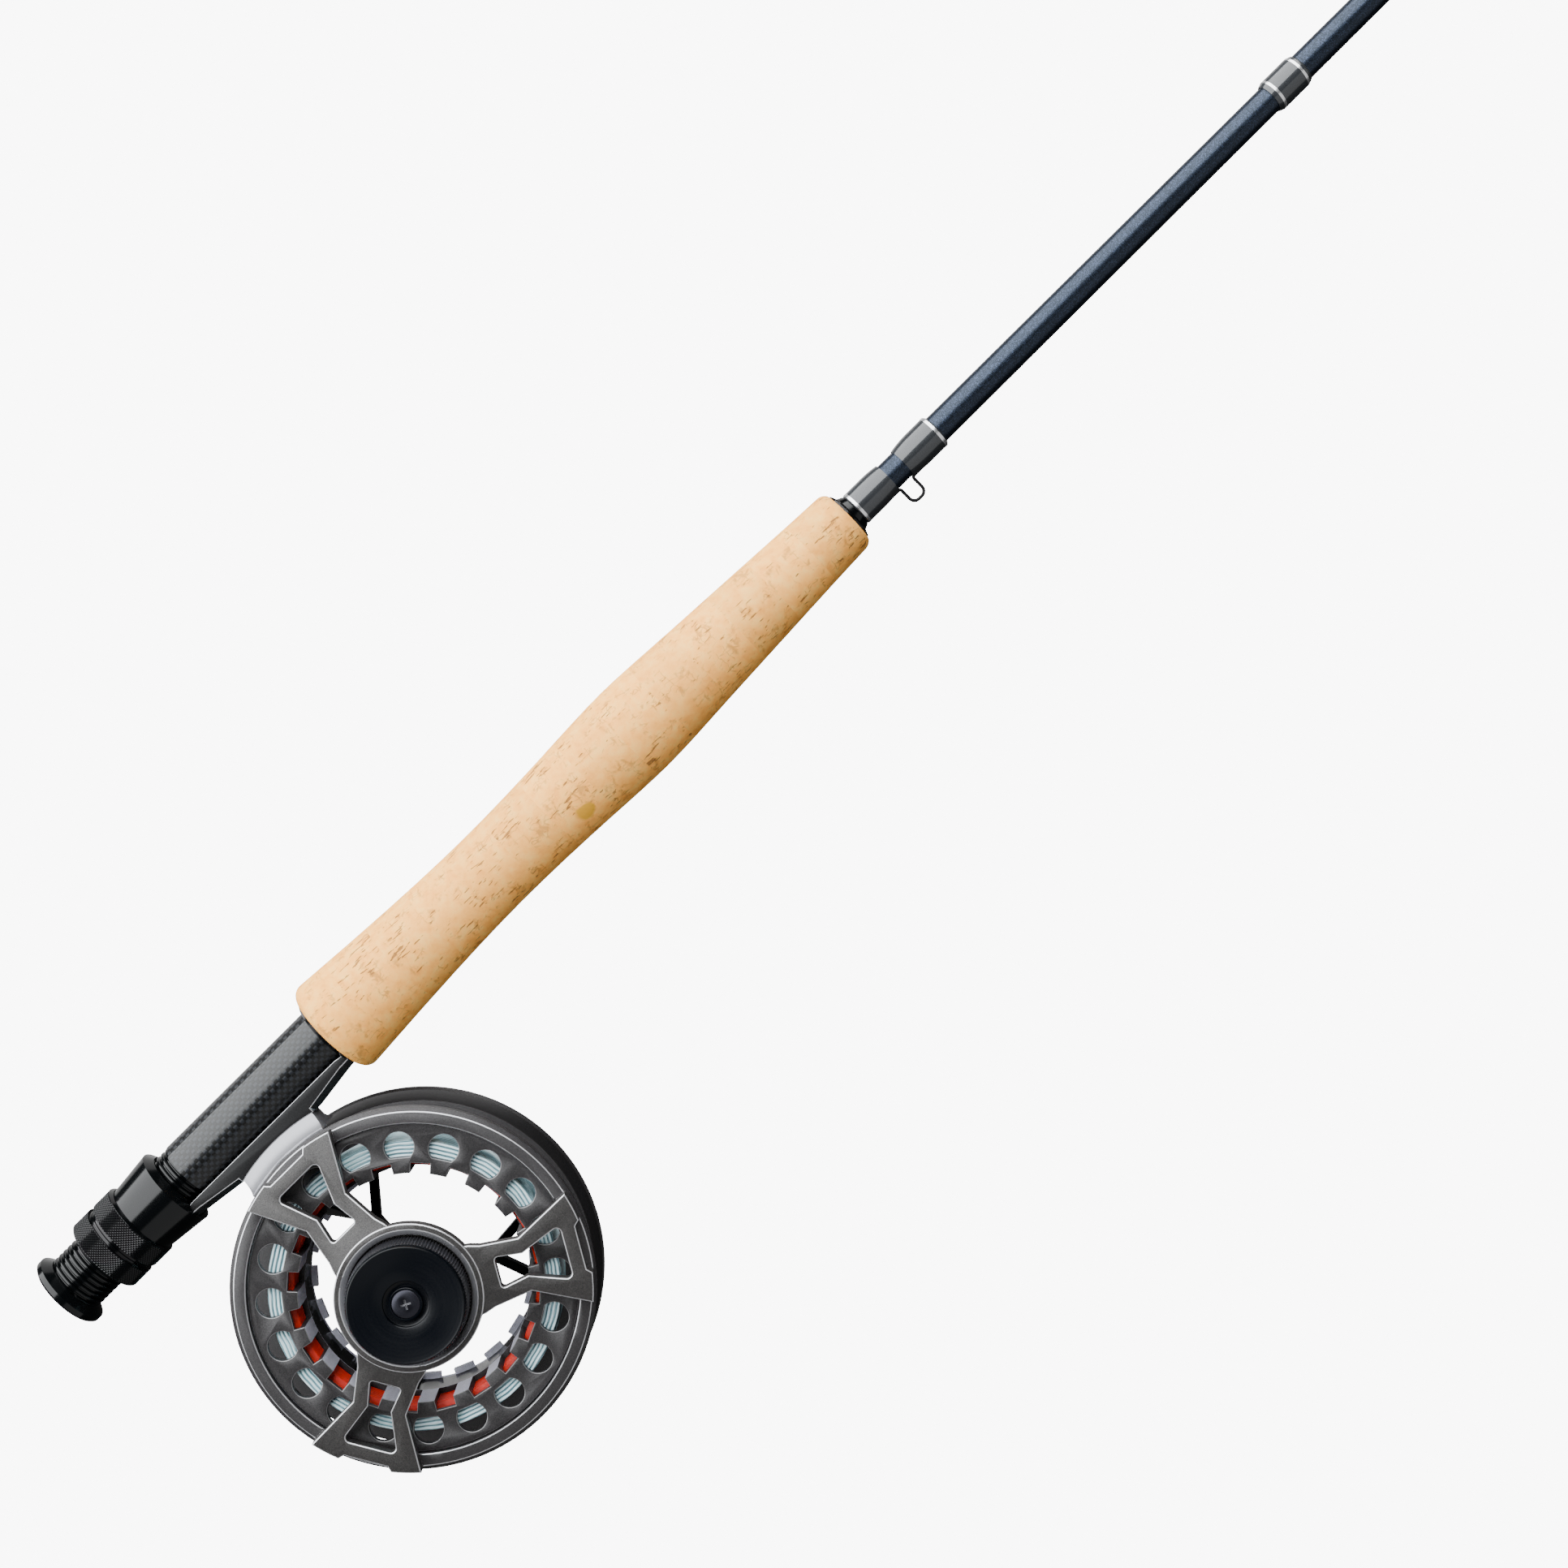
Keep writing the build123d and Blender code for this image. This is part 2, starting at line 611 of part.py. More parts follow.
def stripper_frame(x, ring_r):
    """Metal band round the ring, two legs forward, one leg back, and a foot at each end."""
    base_x = x - STRIPPER_REACH
    foot_z = foot_wire_z(base_x - GUIDE_FOOT_LENGTH, STRIPPER_WIRE_R)
    centre = -(blank_r(x) + STRIPPER_STAND + STRIPPER_BAND_T + ring_r)
    band_r = ring_r + SEAT + STRIPPER_BAND_T
    band = Pos(x, 0, centre) * tube_x(-STRIPPER_BAND_WIDTH / 2, STRIPPER_BAND_WIDTH / 2, band_r, ring_r + SEAT)
    front_x = x + STRIPPER_REACH
    side = band_r - STRIPPER_BAND_T / 2
    legs = [
        rod_along((base_x, 0, foot_z), (x, 0, centre + side), STRIPPER_WIRE_R),
        rod_along((front_x, 0, foot_z), (x, side, centre), STRIPPER_WIRE_R),
        rod_along((front_x, 0, foot_z), (x, -side, centre), STRIPPER_WIRE_R),
        rod_along((base_x - GUIDE_FOOT_LENGTH, 0, foot_z), (base_x, 0, foot_z), STRIPPER_WIRE_R),
        rod_along((front_x, 0, foot_z), (front_x + GUIDE_FOOT_LENGTH, 0, foot_z), STRIPPER_WIRE_R),
        Pos(base_x, 0, foot_z) * Sphere(STRIPPER_WIRE_R),
        Pos(front_x, 0, foot_z) * Sphere(STRIPPER_WIRE_R),
    ]
    frame = band
    for leg in legs:
        frame += leg
    half = STRIPPER_BAND_WIDTH / 2
    return frame - Pos(x, 0, centre) * tube_x(-half, half, ring_r + SEAT, 0)


def tip_top():
    """Tube over the end of the blank with a wire loop on the reel side."""
    x0 = ROD_LENGTH - TIP_TOP_TUBE_LENGTH
    inner = blank_r(x0) + GLUE
    outer = inner + TIP_TOP_TUBE_WALL
    end = ROD_LENGTH + SEAT
    cap = ROD_LENGTH + 0.5
    tube = turned([(x0, inner), (end, inner), (end, 0), (cap, 0), (cap, outer), (x0, outer)])
    centre = (ROD_LENGTH + TIP_TOP_WIRE_R, 0, -(outer + TIP_TOP_LOOP_R - TIP_TOP_WIRE_R))
    loop = Pos(*centre) * (Rot(0, 70, 0) * Torus(TIP_TOP_LOOP_R, TIP_TOP_WIRE_R))
    return tube + loop - turned([(x0 - 1, 0), (end, 0), (end, inner), (x0 - 1, inner)])


def ferrule_wrap(x0, x1):
    """Plain wrap that keeps the end of a section from splitting."""
    return sleeve(x0, x1, WRAP_T, GLUE)


# ================================================================ reel frame
def arm_outline():
    """Half-symmetric outline of one arm, pointing along +X."""
    slope = (ARM_TIP_HALF - ARM_WAIST_HALF) / (sqrt(ARM_TIP_R**2 - ARM_TIP_HALF**2) - ARM_WAIST_R)
    past = ARM_TIP_R + 2
    far_half = ARM_WAIST_HALF + slope * (past - ARM_WAIST_R)
    root = HUB_BORE_R - HUB_BEVEL
    upper = [(root, ARM_ROOT_HALF + 1.2), (ARM_ROOT_R - 2.5, ARM_ROOT_HALF + 0.8), (ARM_ROOT_R, ARM_ROOT_HALF)]
    upper += [(ARM_WAIST_R, ARM_WAIST_HALF), (past, far_half)]
    return upper + [(x, -z) for x, z in reversed(upper)]


def arm_window():
    """Hourglass opening through one arm."""
    upper = [(WINDOW_IN_R, WINDOW_IN_HALF), (WINDOW_WAIST_R, WINDOW_WAIST_HALF), (WINDOW_OUT_R, WINDOW_OUT_HALF)]
    outline = make_face(Polyline(upper + [(x, -z) for x, z in reversed(upper)], close=True))
    by_x = outline.vertices().sort_by(Axis.X)
    outline = fillet(by_x[:2], WINDOW_IN_ROUND)
    outline = fillet(outline.vertices().sort_by(Axis.X)[-2:], WINDOW_OUT_ROUND)
    return extrude(Plane.XZ.offset(-HUB_BACK_Y + 20) * outline, amount=-60)


def reel_frame():
    """Half frame machined from one bar: ring, three arms and the hub that takes the drag knob."""
    ring = reel_turned(
        [
            (RIM_RING_BORE_R, RIM_RING_FACE_Y),
            (RIM_RING_R - RIM_RING_CHAMFER, RIM_RING_FACE_Y),
            (RIM_RING_R, RIM_RING_FACE_Y + RIM_RING_CHAMFER),
            (RIM_RING_R, RIM_RING_REAR_Y),
            (RIM_RING_BORE_R, RIM_RING_REAR_Y),
        ]
    )
    slope = (ARM_KNEE_Y - ARM_TIP_Y) / (ARM_TIP_R - ARM_KNEE_R)
    post_r = RIM_RING_BORE_R + 0.3
    tip_inner_y = ARM_TIP_Y + slope * (ARM_TIP_R - post_r) + ARM_T
    root_r = HUB_BORE_R + HUB_BEVEL
    root_y = HUB_FACE_Y + 0.3
    root_back_y = HUB_FACE_Y + HUB_DEPTH - 0.3
    dish = reel_turned(
        [
            (root_r, root_y),
            (HUB_R, root_y),
            (ARM_KNEE_R, ARM_KNEE_Y),
            (ARM_TIP_R, ARM_TIP_Y),
            (ARM_TIP_R, RIM_RING_FACE_Y + RIM_RING_CHAMFER),
            (post_r, RIM_RING_FACE_Y + RIM_RING_CHAMFER),
            (post_r, tip_inner_y),
            (ARM_KNEE_R, ARM_KNEE_Y + ARM_T),
            (HUB_R, root_back_y),
            (root_r, root_back_y),
        ]
    )
    notch = [
        (ARM_NOTCH_R, -ARM_NOTCH_HALF),
        (ARM_NOTCH_R, ARM_NOTCH_HALF),
        (ARM_NOTCH_R + 4, ARM_NOTCH_HALF + 4),
        (ARM_NOTCH_R + 4, -ARM_NOTCH_HALF - 4),
    ]
    arm = dish & side_prism(arm_outline(), HUB_FACE_Y - 5, 0)
    arm -= side_prism(notch, HUB_FACE_Y - 5, RIM_RING_FACE_Y)
    arm -= arm_window()
    hub = reel_turned(
        [
            (HUB_BORE_R + HUB_BEVEL, HUB_FACE_Y),
            (HUB_R, HUB_FACE_Y),
            (HUB_R, HUB_FACE_Y + HUB_DEPTH),
            (HUB_BACK_R, HUB_BACK_Y),
            (AXLE_R + GLUE, HUB_BACK_Y),
            (AXLE_R + GLUE, HUB_FLOOR_Y),
            (HUB_BORE_R, HUB_FLOOR_Y),
            (HUB_BORE_R, HUB_FACE_Y + 0.75 * HUB_BEVEL),
        ]
    )
    saddle = make_face(
        Polyline(
            [
                (RIM_RING_BORE_R, RIM_RING_REAR_Y - 1),
                (RIM_RING_BORE_R, SADDLE_REAR_Y),
                (RIM_RING_R, SADDLE_REAR_Y),
                (RIM_RING_R, RIM_RING_REAR_Y - 1),
            ],
            close=True,
        )
    )
    saddle = revolve(saddle, Axis.Y, revolution_arc=2 * SADDLE_HALF_ANGLE)
    frame = ring + hub + spun(saddle, 90 + SADDLE_HALF_ANGLE)
    for i in range(ARM_COUNT):
        frame += spun(arm, 90 + i * 360 / ARM_COUNT)
    for side in (-1, 1):
        frame -= foot_screw(FOOT_SCREW_R + GLUE, FOOT_SCREW_HEAD_R + GLUE, 2.0, side)
    return on_reel(frame)


def foot_screw(shank_r, head_r, past, side):
    """Screw from the ring's bore into the pedestal, on one side of its middle; past lengthens it for a hole."""
    y = SADDLE_REAR_Y - FOOT_SCREW_WALL - FOOT_SCREW_HEAD_R
    x0 = RIM_RING_BORE_R + SEAT
    head = rod_along((x0 - past, y, 0), (x0 + FOOT_SCREW_HEAD_T, y, 0), head_r)
    screw = head + rod_along((x0, y, 0), (x0 + FOOT_SCREW_LENGTH + past / 4, y, 0), shank_r)
    return spun(screw, 90 + side * FOOT_SCREW_PHASE)


def foot_screws():
    screws = [on_reel(foot_screw(FOOT_SCREW_R, FOOT_SCREW_HEAD_R, 0, side)) for side in (-1, 1)]
    return Compound(children=screws)


# ================================================================ reel foot and pedestal
def reel_pedestal():
    """Coved block on the ring's outer wall; its back lip reaches over the spool's rim."""
    low = RIM_RING_R + SEAT
    over = low + PEDESTAL_LIP_RISE
    back = PEDESTAL_COLUMN_Y
    front = [(low, SADDLE_REAR_Y), (low, PEDESTAL_FRONT_Y), (low + 0.5, PEDESTAL_FRONT_Y)]
    outline = [
        Polyline([(over, PEDESTAL_LIP_Y), (over, SADDLE_REAR_Y)] + front),
        RadiusArc(front[-1], (PEDESTAL_TOP_R - SEAT, -FOOT_HALF_WIDTH), 6.0),
        Polyline([(PEDESTAL_TOP_R - SEAT, -FOOT_HALF_WIDTH), (PEDESTAL_TOP_R - SEAT, back), (over + 1.8, back)]),
        RadiusArc((over + 1.8, back), (over + PEDESTAL_LIP_T, PEDESTAL_LIP_Y), 6.0),
        Line((over + PEDESTAL_LIP_T, PEDESTAL_LIP_Y), (over, PEDESTAL_LIP_Y)),
    ]
    block = revolve(make_face(outline), Axis.Y)
    block &= Pos(0, 0, PEDESTAL_TOP_R) * Box(2 * PEDESTAL_HALF, 60, 40)
    for side in (-1, 1):
        block -= foot_screw(FOOT_SCREW_R + GLUE, FOOT_SCREW_HEAD_R + GLUE, 2.0, side)
    return on_reel(block)


def reel_foot():
    """Foot: a middle block over the pedestal and two tapered arms that end in toes."""
    under = REEL_Z + PEDESTAL_TOP_R
    block = Box(2 * FOOT_SHOULDER, 2 * FOOT_HALF_WIDTH, -under - BARREL_R / 2 + 4)
    middle = Pos(REEL_X, 0, (under - BARREL_R / 2) / 2 - 2) * block
    foot = middle + foot_arm(-1, 0) + foot_arm(1, 0)
    saddle_z = FOOT_SADDLE_R - INSERT_R - RUNNING_FIT
    foot -= Pos(0, 0, saddle_z) * tube_x(0, SEAT_X1 + 20, FOOT_SADDLE_R, 0)
    return foot - on_reel(reel_turned([(0, -30), (PEDESTAL_TOP_R, -30), (PEDESTAL_TOP_R, 30), (0, 30)]))


# ================================================================ drag
def drag_knob():
    """Cup-shaped knob: shallow cone face, a well and a raised boss round its screw."""
    skirt_y = HUB_FLOOR_Y - END_GAP
    dish_y = KNOB_FACE_Y + KNOB_DISH
    well_y = dish_y + KNOB_WELL_DEPTH
    inside_y = well_y + KNOB_WALL / 2
    cup_r = KNOB_R - KNOB_WALL
    return on_reel(
        reel_turned(
            [
                (KNOB_R, skirt_y),
                (KNOB_R, KNOB_FACE_Y + KNOB_BEVEL),
                (KNOB_RIM_R, KNOB_FACE_Y),
                (KNOB_WELL_R, dish_y),
                (KNOB_WELL_R, well_y),
                (KNOB_BOSS_R, well_y),
                (KNOB_BOSS_R, dish_y),
                (KNOB_SCREW_R + GLUE, dish_y),
                (KNOB_SCREW_R + GLUE, dish_y + KNOB_SCREW_HEAD),
                (AXLE_R + RUNNING_FIT, dish_y + KNOB_SCREW_HEAD),
                (AXLE_R + RUNNING_FIT, inside_y),
                (cup_r, inside_y),
                (cup_r, skirt_y),
            ]
        )
    )


def knob_screw():
    """Screw that keeps the knob on the axle."""
    dish_y = KNOB_FACE_Y + KNOB_DISH
    head_y = dish_y + KNOB_SCREW_HEAD - SEAT
    return on_reel(
        reel_turned(
            [
                (0, dish_y - 0.1),
                (KNOB_SCREW_R - 0.2, dish_y - 0.1),
                (KNOB_SCREW_R, dish_y + 0.1),
                (KNOB_SCREW_R, head_y),
                (KNOB_SCREW_SHANK_R, head_y),
                (KNOB_SCREW_SHANK_R, head_y + KNOB_SCREW_LENGTH),
                (0, head_y + KNOB_SCREW_LENGTH),
            ]
        )
    )


def axle():
    """Fixed axle from the knob's screw to the spool's cap, with the thread hole for the screw."""
    front_y = KNOB_FACE_Y + KNOB_DISH + KNOB_SCREW_HEAD + SEAT
    hole_y = front_y + KNOB_SCREW_LENGTH
    hole_r = KNOB_SCREW_SHANK_R + RUNNING_FIT
    outside = [(hole_r, front_y), (AXLE_R, front_y), (AXLE_R, AXLE_END_Y), (0, AXLE_END_Y)]
    return on_reel(reel_turned(outside + [(0, hole_y), (hole_r, hole_y)]))


def drag_case():
    """Sealed can on the back of the hub that holds the drag discs."""
    y0 = HUB_BACK_Y + SEAT
    wall = DRAG_CASE_WALL
    bore = AXLE_R + GLUE
    return on_reel(
        reel_turned(
            [
                (DRAG_CASE_R - wall, y0),
                (DRAG_CASE_R, y0),
                (DRAG_CASE_R, DRAG_CASE_END_Y - 0.6),
                (DRAG_CASE_R - 0.6, DRAG_CASE_END_Y),
                (bore, DRAG_CASE_END_Y),
                (bore, DRAG_CASE_END_Y - wall),
                (DRAG_CASE_R - wall, DRAG_CASE_END_Y - wall),
            ]
        )
    )


def drag_discs():
    """Stack of brake discs in the can."""
    inner = AXLE_R + GLUE
    outer = DRAG_CASE_R - DRAG_CASE_WALL - RUNNING_FIT
    y0 = DRAG_CASE_END_Y - DRAG_CASE_WALL - SEAT - DISC_COUNT * (DISC_T + SEAT)
    discs = []
    for i in range(DISC_COUNT):
        y = y0 + i * (DISC_T + SEAT)
        edge = outer if i % 2 else outer - 1.0
        discs.append(on_reel(reel_turned([(inner, y), (edge, y), (edge, y + DISC_T), (inner, y + DISC_T)])))
    return Compound(children=discs)


def drag_springs():
    """Cone springs between the hub's floor and the knob, each on the rim of the next."""
    inner = AXLE_R + GLUE
    rise = (SPRING_R - inner) * 0.12
    springs = []
    for i in range(SPRING_COUNT):
        low = HUB_FLOOR_Y - SEAT - (i + 1) * (rise + SPRING_T + SEAT)
        lift = rise if i % 2 else 0
        drop = 0 if i % 2 else rise
        under = [(inner, low + lift), (SPRING_R, low + drop)]
        over = [(radius, y + SPRING_T) for radius, y in reversed(under)]
        springs.append(on_reel(reel_turned(under + over)))
    return Compound(children=springs)


# ================================================================ spool
def d_hole():
    """Round hole with a flat on the side of the axle, at angle 0."""
    disc = Circle(HOLE_R) & Pos(HOLE_R - HOLE_FLAT, 0) * Rectangle(2 * HOLE_R, 2 * HOLE_R)
    return Pos(HOLE_AT_R, 0, 0) * extrude(Plane.XZ.offset(-FLANGE_FACE_Y + 1) * disc, amount=-(FLANGE_T + 2))


def spoke():
    """Y-shaped spoke on the spool's back, at angle 0: a stem and two branches."""
    y1 = ARBOR_END_Y
    y0 = y1 - SPOKE_DEPTH
    half = SPOKE_WIDTH / 2
    root = SPOOL_HUB_R - 1
    fork = SPOKE_FORK_R + half
    stem = side_prism([(root, -half), (fork, -half), (fork, half), (root, half)], y0, y1)
    reach = branch_length()
    branch = side_prism([(0, -half), (reach, -half), (reach, half), (0, half)], y0, y1)
    for side in (-1, 1):
        stem += Pos(SPOKE_FORK_R, 0, 0) * spun(branch, side * SPOKE_SPREAD)
    return stem


def branch_length():
    """From the fork to half way through the arbor's wall."""
    target = ARBOR_BORE_R + ARBOR_WALL / 2
    along = SPOKE_FORK_R * cos(radians(SPOKE_SPREAD))
    across = SPOKE_FORK_R * sin(radians(SPOKE_SPREAD))
    return sqrt(target**2 - across**2) - along


def spool_shell():
    """Turned form of the spool: flange, arbor, back flange, flared palming rim and bead."""
    inner_rim = PALM_R_BACK - PALM_WALL
    return reel_turned(
        [
            (ARBOR_BORE_R, FLANGE_FACE_Y),
            (FLANGE_R, FLANGE_FACE_Y),
            (FLANGE_R, FLANGE_BACK_Y),
            (ARBOR_R, FLANGE_BACK_Y),
            (ARBOR_R, BACK_FLANGE_Y),
            (PALM_R_FRONT, BACK_FLANGE_Y),
            (PALM_R_BACK, PALM_BEAD_Y - 1.0),
            (PALM_R_BACK - 0.5, PALM_BEAD_Y - 0.5),
            (PALM_BEAD_R, PALM_BEAD_Y),
            (PALM_BEAD_R, PALM_END_Y),
            (inner_rim, PALM_END_Y),
            (PALM_R_FRONT - PALM_WALL, BACK_FLANGE_Y + BACK_FLANGE_T),
            (ARBOR_R, BACK_FLANGE_Y + BACK_FLANGE_T),
            (ARBOR_R, ARBOR_END_Y),
            (ARBOR_BORE_R, ARBOR_END_Y),
        ]
    )


def spool():
    """One machined piece: pierced flange, castellated arbor, back flange with palming rim, spokes, hub."""
    body = spool_shell()
    pitch = 360 / TOOTH_COUNT
    slot_half = ARBOR_BORE_R * sin(radians(pitch) / 2) - TOOTH_WIDTH / 2
    slot_root = ARBOR_BORE_R - 2
    slot = [(slot_root, -slot_half), (ARBOR_R, -slot_half), (ARBOR_R, slot_half), (slot_root, slot_half)]
    slot_cut = side_prism(slot, FLANGE_FACE_Y - 1, SLOT_END_Y)
    notch_r = ARBOR_R + NOTCH_DEPTH
    notch = [(slot_root, -slot_half), (notch_r, -slot_half), (notch_r, slot_half), (slot_root, slot_half)]
    slot_cut += side_prism(notch, FLANGE_FACE_Y - 1, FLANGE_BACK_Y)
    back_tooth = side_prism(
        [
            (ARBOR_BORE_R - BACK_TOOTH_DEPTH, -BACK_TOOTH_WIDTH / 2),
            (ARBOR_BORE_R + ARBOR_WALL / 2, -BACK_TOOTH_WIDTH / 2),
            (ARBOR_BORE_R + ARBOR_WALL / 2, BACK_TOOTH_WIDTH / 2),
            (ARBOR_BORE_R - BACK_TOOTH_DEPTH, BACK_TOOTH_WIDTH / 2),
        ],
        ARBOR_END_Y - BACK_TOOTH_T,
        ARBOR_END_Y,
    )
    hole = d_hole()
    for i in range(TOOTH_COUNT):
        angle = TOOTH_PHASE + i * pitch
        body -= spun(hole, angle)
        body -= spun(slot_cut, angle + pitch / 2)
        body += spun(back_tooth, BACK_TOOTH_PHASE + i * pitch)
    for i in range(SPOKE_COUNT):
        body += spun(spoke(), SPOKE_PHASE + i * 360 / SPOKE_COUNT)
    body += spool_hub()
    for angle, radius in ((HANDLE_PHASE, HANDLE_BOSS_R), (HANDLE_PHASE + 180, WEIGHT_R)):
        body += spun(boss(radius), angle)
    body -= spun(Pos(HANDLE_AT_R, 0, 0) * pin_hole(), HANDLE_PHASE)
    return on_reel(body)


def spool_hub():
    """Sleeve that carries the bearings, with a shoulder at its front and a cap seat at its back."""
    bore = BEARING_R + GLUE
    lip = AXLE_R + 1.0
    return reel_turned(
        [
            (lip, SPOOL_HUB_Y0),
            (SPOOL_HUB_R, SPOOL_HUB_Y0),
            (SPOOL_HUB_R, SPOOL_HUB_Y1),
            (bore, SPOOL_HUB_Y1),
            (bore, SPOOL_HUB_Y0 + 1.0),
            (lip, SPOOL_HUB_Y0 + 1.0),
        ]
    )


def boss(radius):
    """Round boss on the back flange."""
    y0 = BACK_FLANGE_Y + BACK_FLANGE_T / 2
    return rod_along((HANDLE_AT_R, y0, 0), (HANDLE_AT_R, PALM_END_Y - 2.0, 0), radius)


def pin_hole():
    """Hole for the handle's pin through the boss."""
    return rod_along((0, BACK_FLANGE_Y + BACK_FLANGE_T / 2, 0), (0, PALM_END_Y, 0), HANDLE_PIN_R + GLUE)


def bearing_y():
    """Start of the front bearing, the one-way clutch and the rear bearing in the hub."""
    first = SPOOL_HUB_Y0 + 1.0 + SEAT
    clutch = first + BEARING_WIDTH + 1.0
    return first, clutch, clutch + CLUTCH_WIDTH + 1.0


def hub_ring(y, width, inner, outer):
    """Plain ring round the axle."""
    return on_reel(reel_turned([(inner, y), (outer, y), (outer, y + width), (inner, y + width)]))


def spool_bearings():
    """Two ball bearings, drawn as their closed outer form."""
    first, _, last = bearing_y()
    inner = AXLE_R + RUNNING_FIT
    return Compound(children=[hub_ring(y, BEARING_WIDTH, inner, BEARING_R) for y in (first, last)])


def clutch_bearing():
    """One-way roller clutch between the axle and the hub."""
    return hub_ring(bearing_y()[1], CLUTCH_WIDTH, AXLE_R + RUNNING_FIT, BEARING_R)


def spool_cap():
    """Domed cap that closes the hub at the back."""
    y = SPOOL_HUB_Y1 + SEAT
    rim = SPOOL_HUB_R - 0.2
    top = y + CAP_DOME_T
    side = [(0, y), (rim, y), (rim, y + CAP_DOME_T / 2), (CAP_DOME_R, y + CAP_DOME_T * 0.85)]
    return on_reel(reel_turned(side + [(CAP_DOME_R / 2, top), (0, top)]))


def on_handle(shape):
    """Moves a shape drawn round the handle's own axis to its place on the spool."""
    return on_reel(spun(Pos(HANDLE_AT_R, 0, 0) * shape, HANDLE_PHASE))


def handle_pin():
    """Shouldered pin with a head that keeps the handle on."""
    y0 = BACK_FLANGE_Y + BACK_FLANGE_T / 2 + SEAT
    boss_y = PALM_END_Y - 2.0
    head_y = boss_y + END_GAP + HANDLE_LENGTH - PIN_HEAD - 0.2
    shank = [(0, y0), (HANDLE_PIN_R, y0), (HANDLE_PIN_R, head_y)]
    head_r = HANDLE_PIN_R + PIN_HEAD
    return on_handle(reel_turned(shank + [(head_r, head_y), (head_r, head_y + PIN_HEAD), (0, head_y + PIN_HEAD)]))


def handle_knob():
    """Waisted handle that turns on its pin, with a recess for the pin's head."""
    y0 = PALM_END_Y - 2.0 + END_GAP
    y1 = y0 + HANDLE_LENGTH
    bore = HANDLE_PIN_R + RUNNING_FIT
    recess_r = HANDLE_PIN_R + PIN_HEAD + 0.3
    recess_y = y1 - PIN_HEAD - 0.2 - END_GAP
    waist = (HANDLE_R_WAIST, y0 + 0.3 * HANDLE_LENGTH)
    swell = (HANDLE_R_END, y1 - 0.25 * HANDLE_LENGTH)
    side = Spline([(HANDLE_R_ROOT, y0 + 1), waist, swell, (HANDLE_R_END - 0.5, y1 - 1.2)])
    rest = Polyline(
        [
            (HANDLE_R_END - 0.5, y1 - 1.2),
            (HANDLE_R_END - 1.7, y1),
            (recess_r, y1),
            (recess_r, recess_y),
            (bore, recess_y),
            (bore, y0),
            (HANDLE_R_ROOT - 0.6, y0),
            (HANDLE_R_ROOT, y0 + 1),
        ]
    )
    return on_handle(revolve(make_face([side, rest]), Axis.Y))


def counterweight():
    """Weight opposite the handle, seated on its boss."""
    y0 = PALM_END_Y - 2.0 + SEAT
    top = y0 + WEIGHT_T
    weight = reel_turned([(0, y0), (WEIGHT_R, y0), (WEIGHT_R, top - 0.6), (WEIGHT_R - 0.6, top), (0, top)])
    return on_reel(spun(Pos(HANDLE_AT_R, 0, 0) * weight, HANDLE_PHASE + 180))


def wound(inner, outer, crown):
    """Line wound on the arbor, slightly fuller in the middle."""
    y0 = FLANGE_BACK_Y + SEAT
    y1 = BACK_FLANGE_Y - SEAT
    top = ThreePointArc((outer - crown, y0), (outer, (y0 + y1) / 2), (outer - crown, y1))
    sides = Polyline([(outer - crown, y1), (inner, y1), (inner, y0), (outer - crown, y0)])
    return on_reel(revolve(make_face([top, sides]), Axis.Y))


def backing():
    return on_reel(
        reel_turned(
            [
                (ARBOR_R + SEAT, FLANGE_BACK_Y + SEAT),
                (BACKING_R, FLANGE_BACK_Y + SEAT),
                (BACKING_R, BACK_FLANGE_Y - SEAT),
                (ARBOR_R + SEAT, BACK_FLANGE_Y - SEAT),
            ]
        )
    )


# ================================================================ write one file per piece
def section_wraps(x0, x1, snakes, strippers, socket, has_spigot):
    """All thread wraps of one rod section."""
    wraps = []
    if socket:
        wraps.append(ferrule_wrap(x0, x0 + FERRULE_WRAP_LENGTH))
    if has_spigot:
        wraps.append(ferrule_wrap(x1 - FERRULE_WRAP_LENGTH, x1))
    for x in strippers:
        wraps += two_wraps(x, STRIPPER_REACH, STRIPPER_WIRE_R)
    for x in snakes:
        wraps += two_wraps(x, SNAKE_REACH, SNAKE_WIRE_R)
    return Compound(children=wraps)


def snakes_at(x0, x1, shares):
    """Places of a section's snake guides along the rod."""
    return [x0 + share * (x1 - x0) for share in shares]


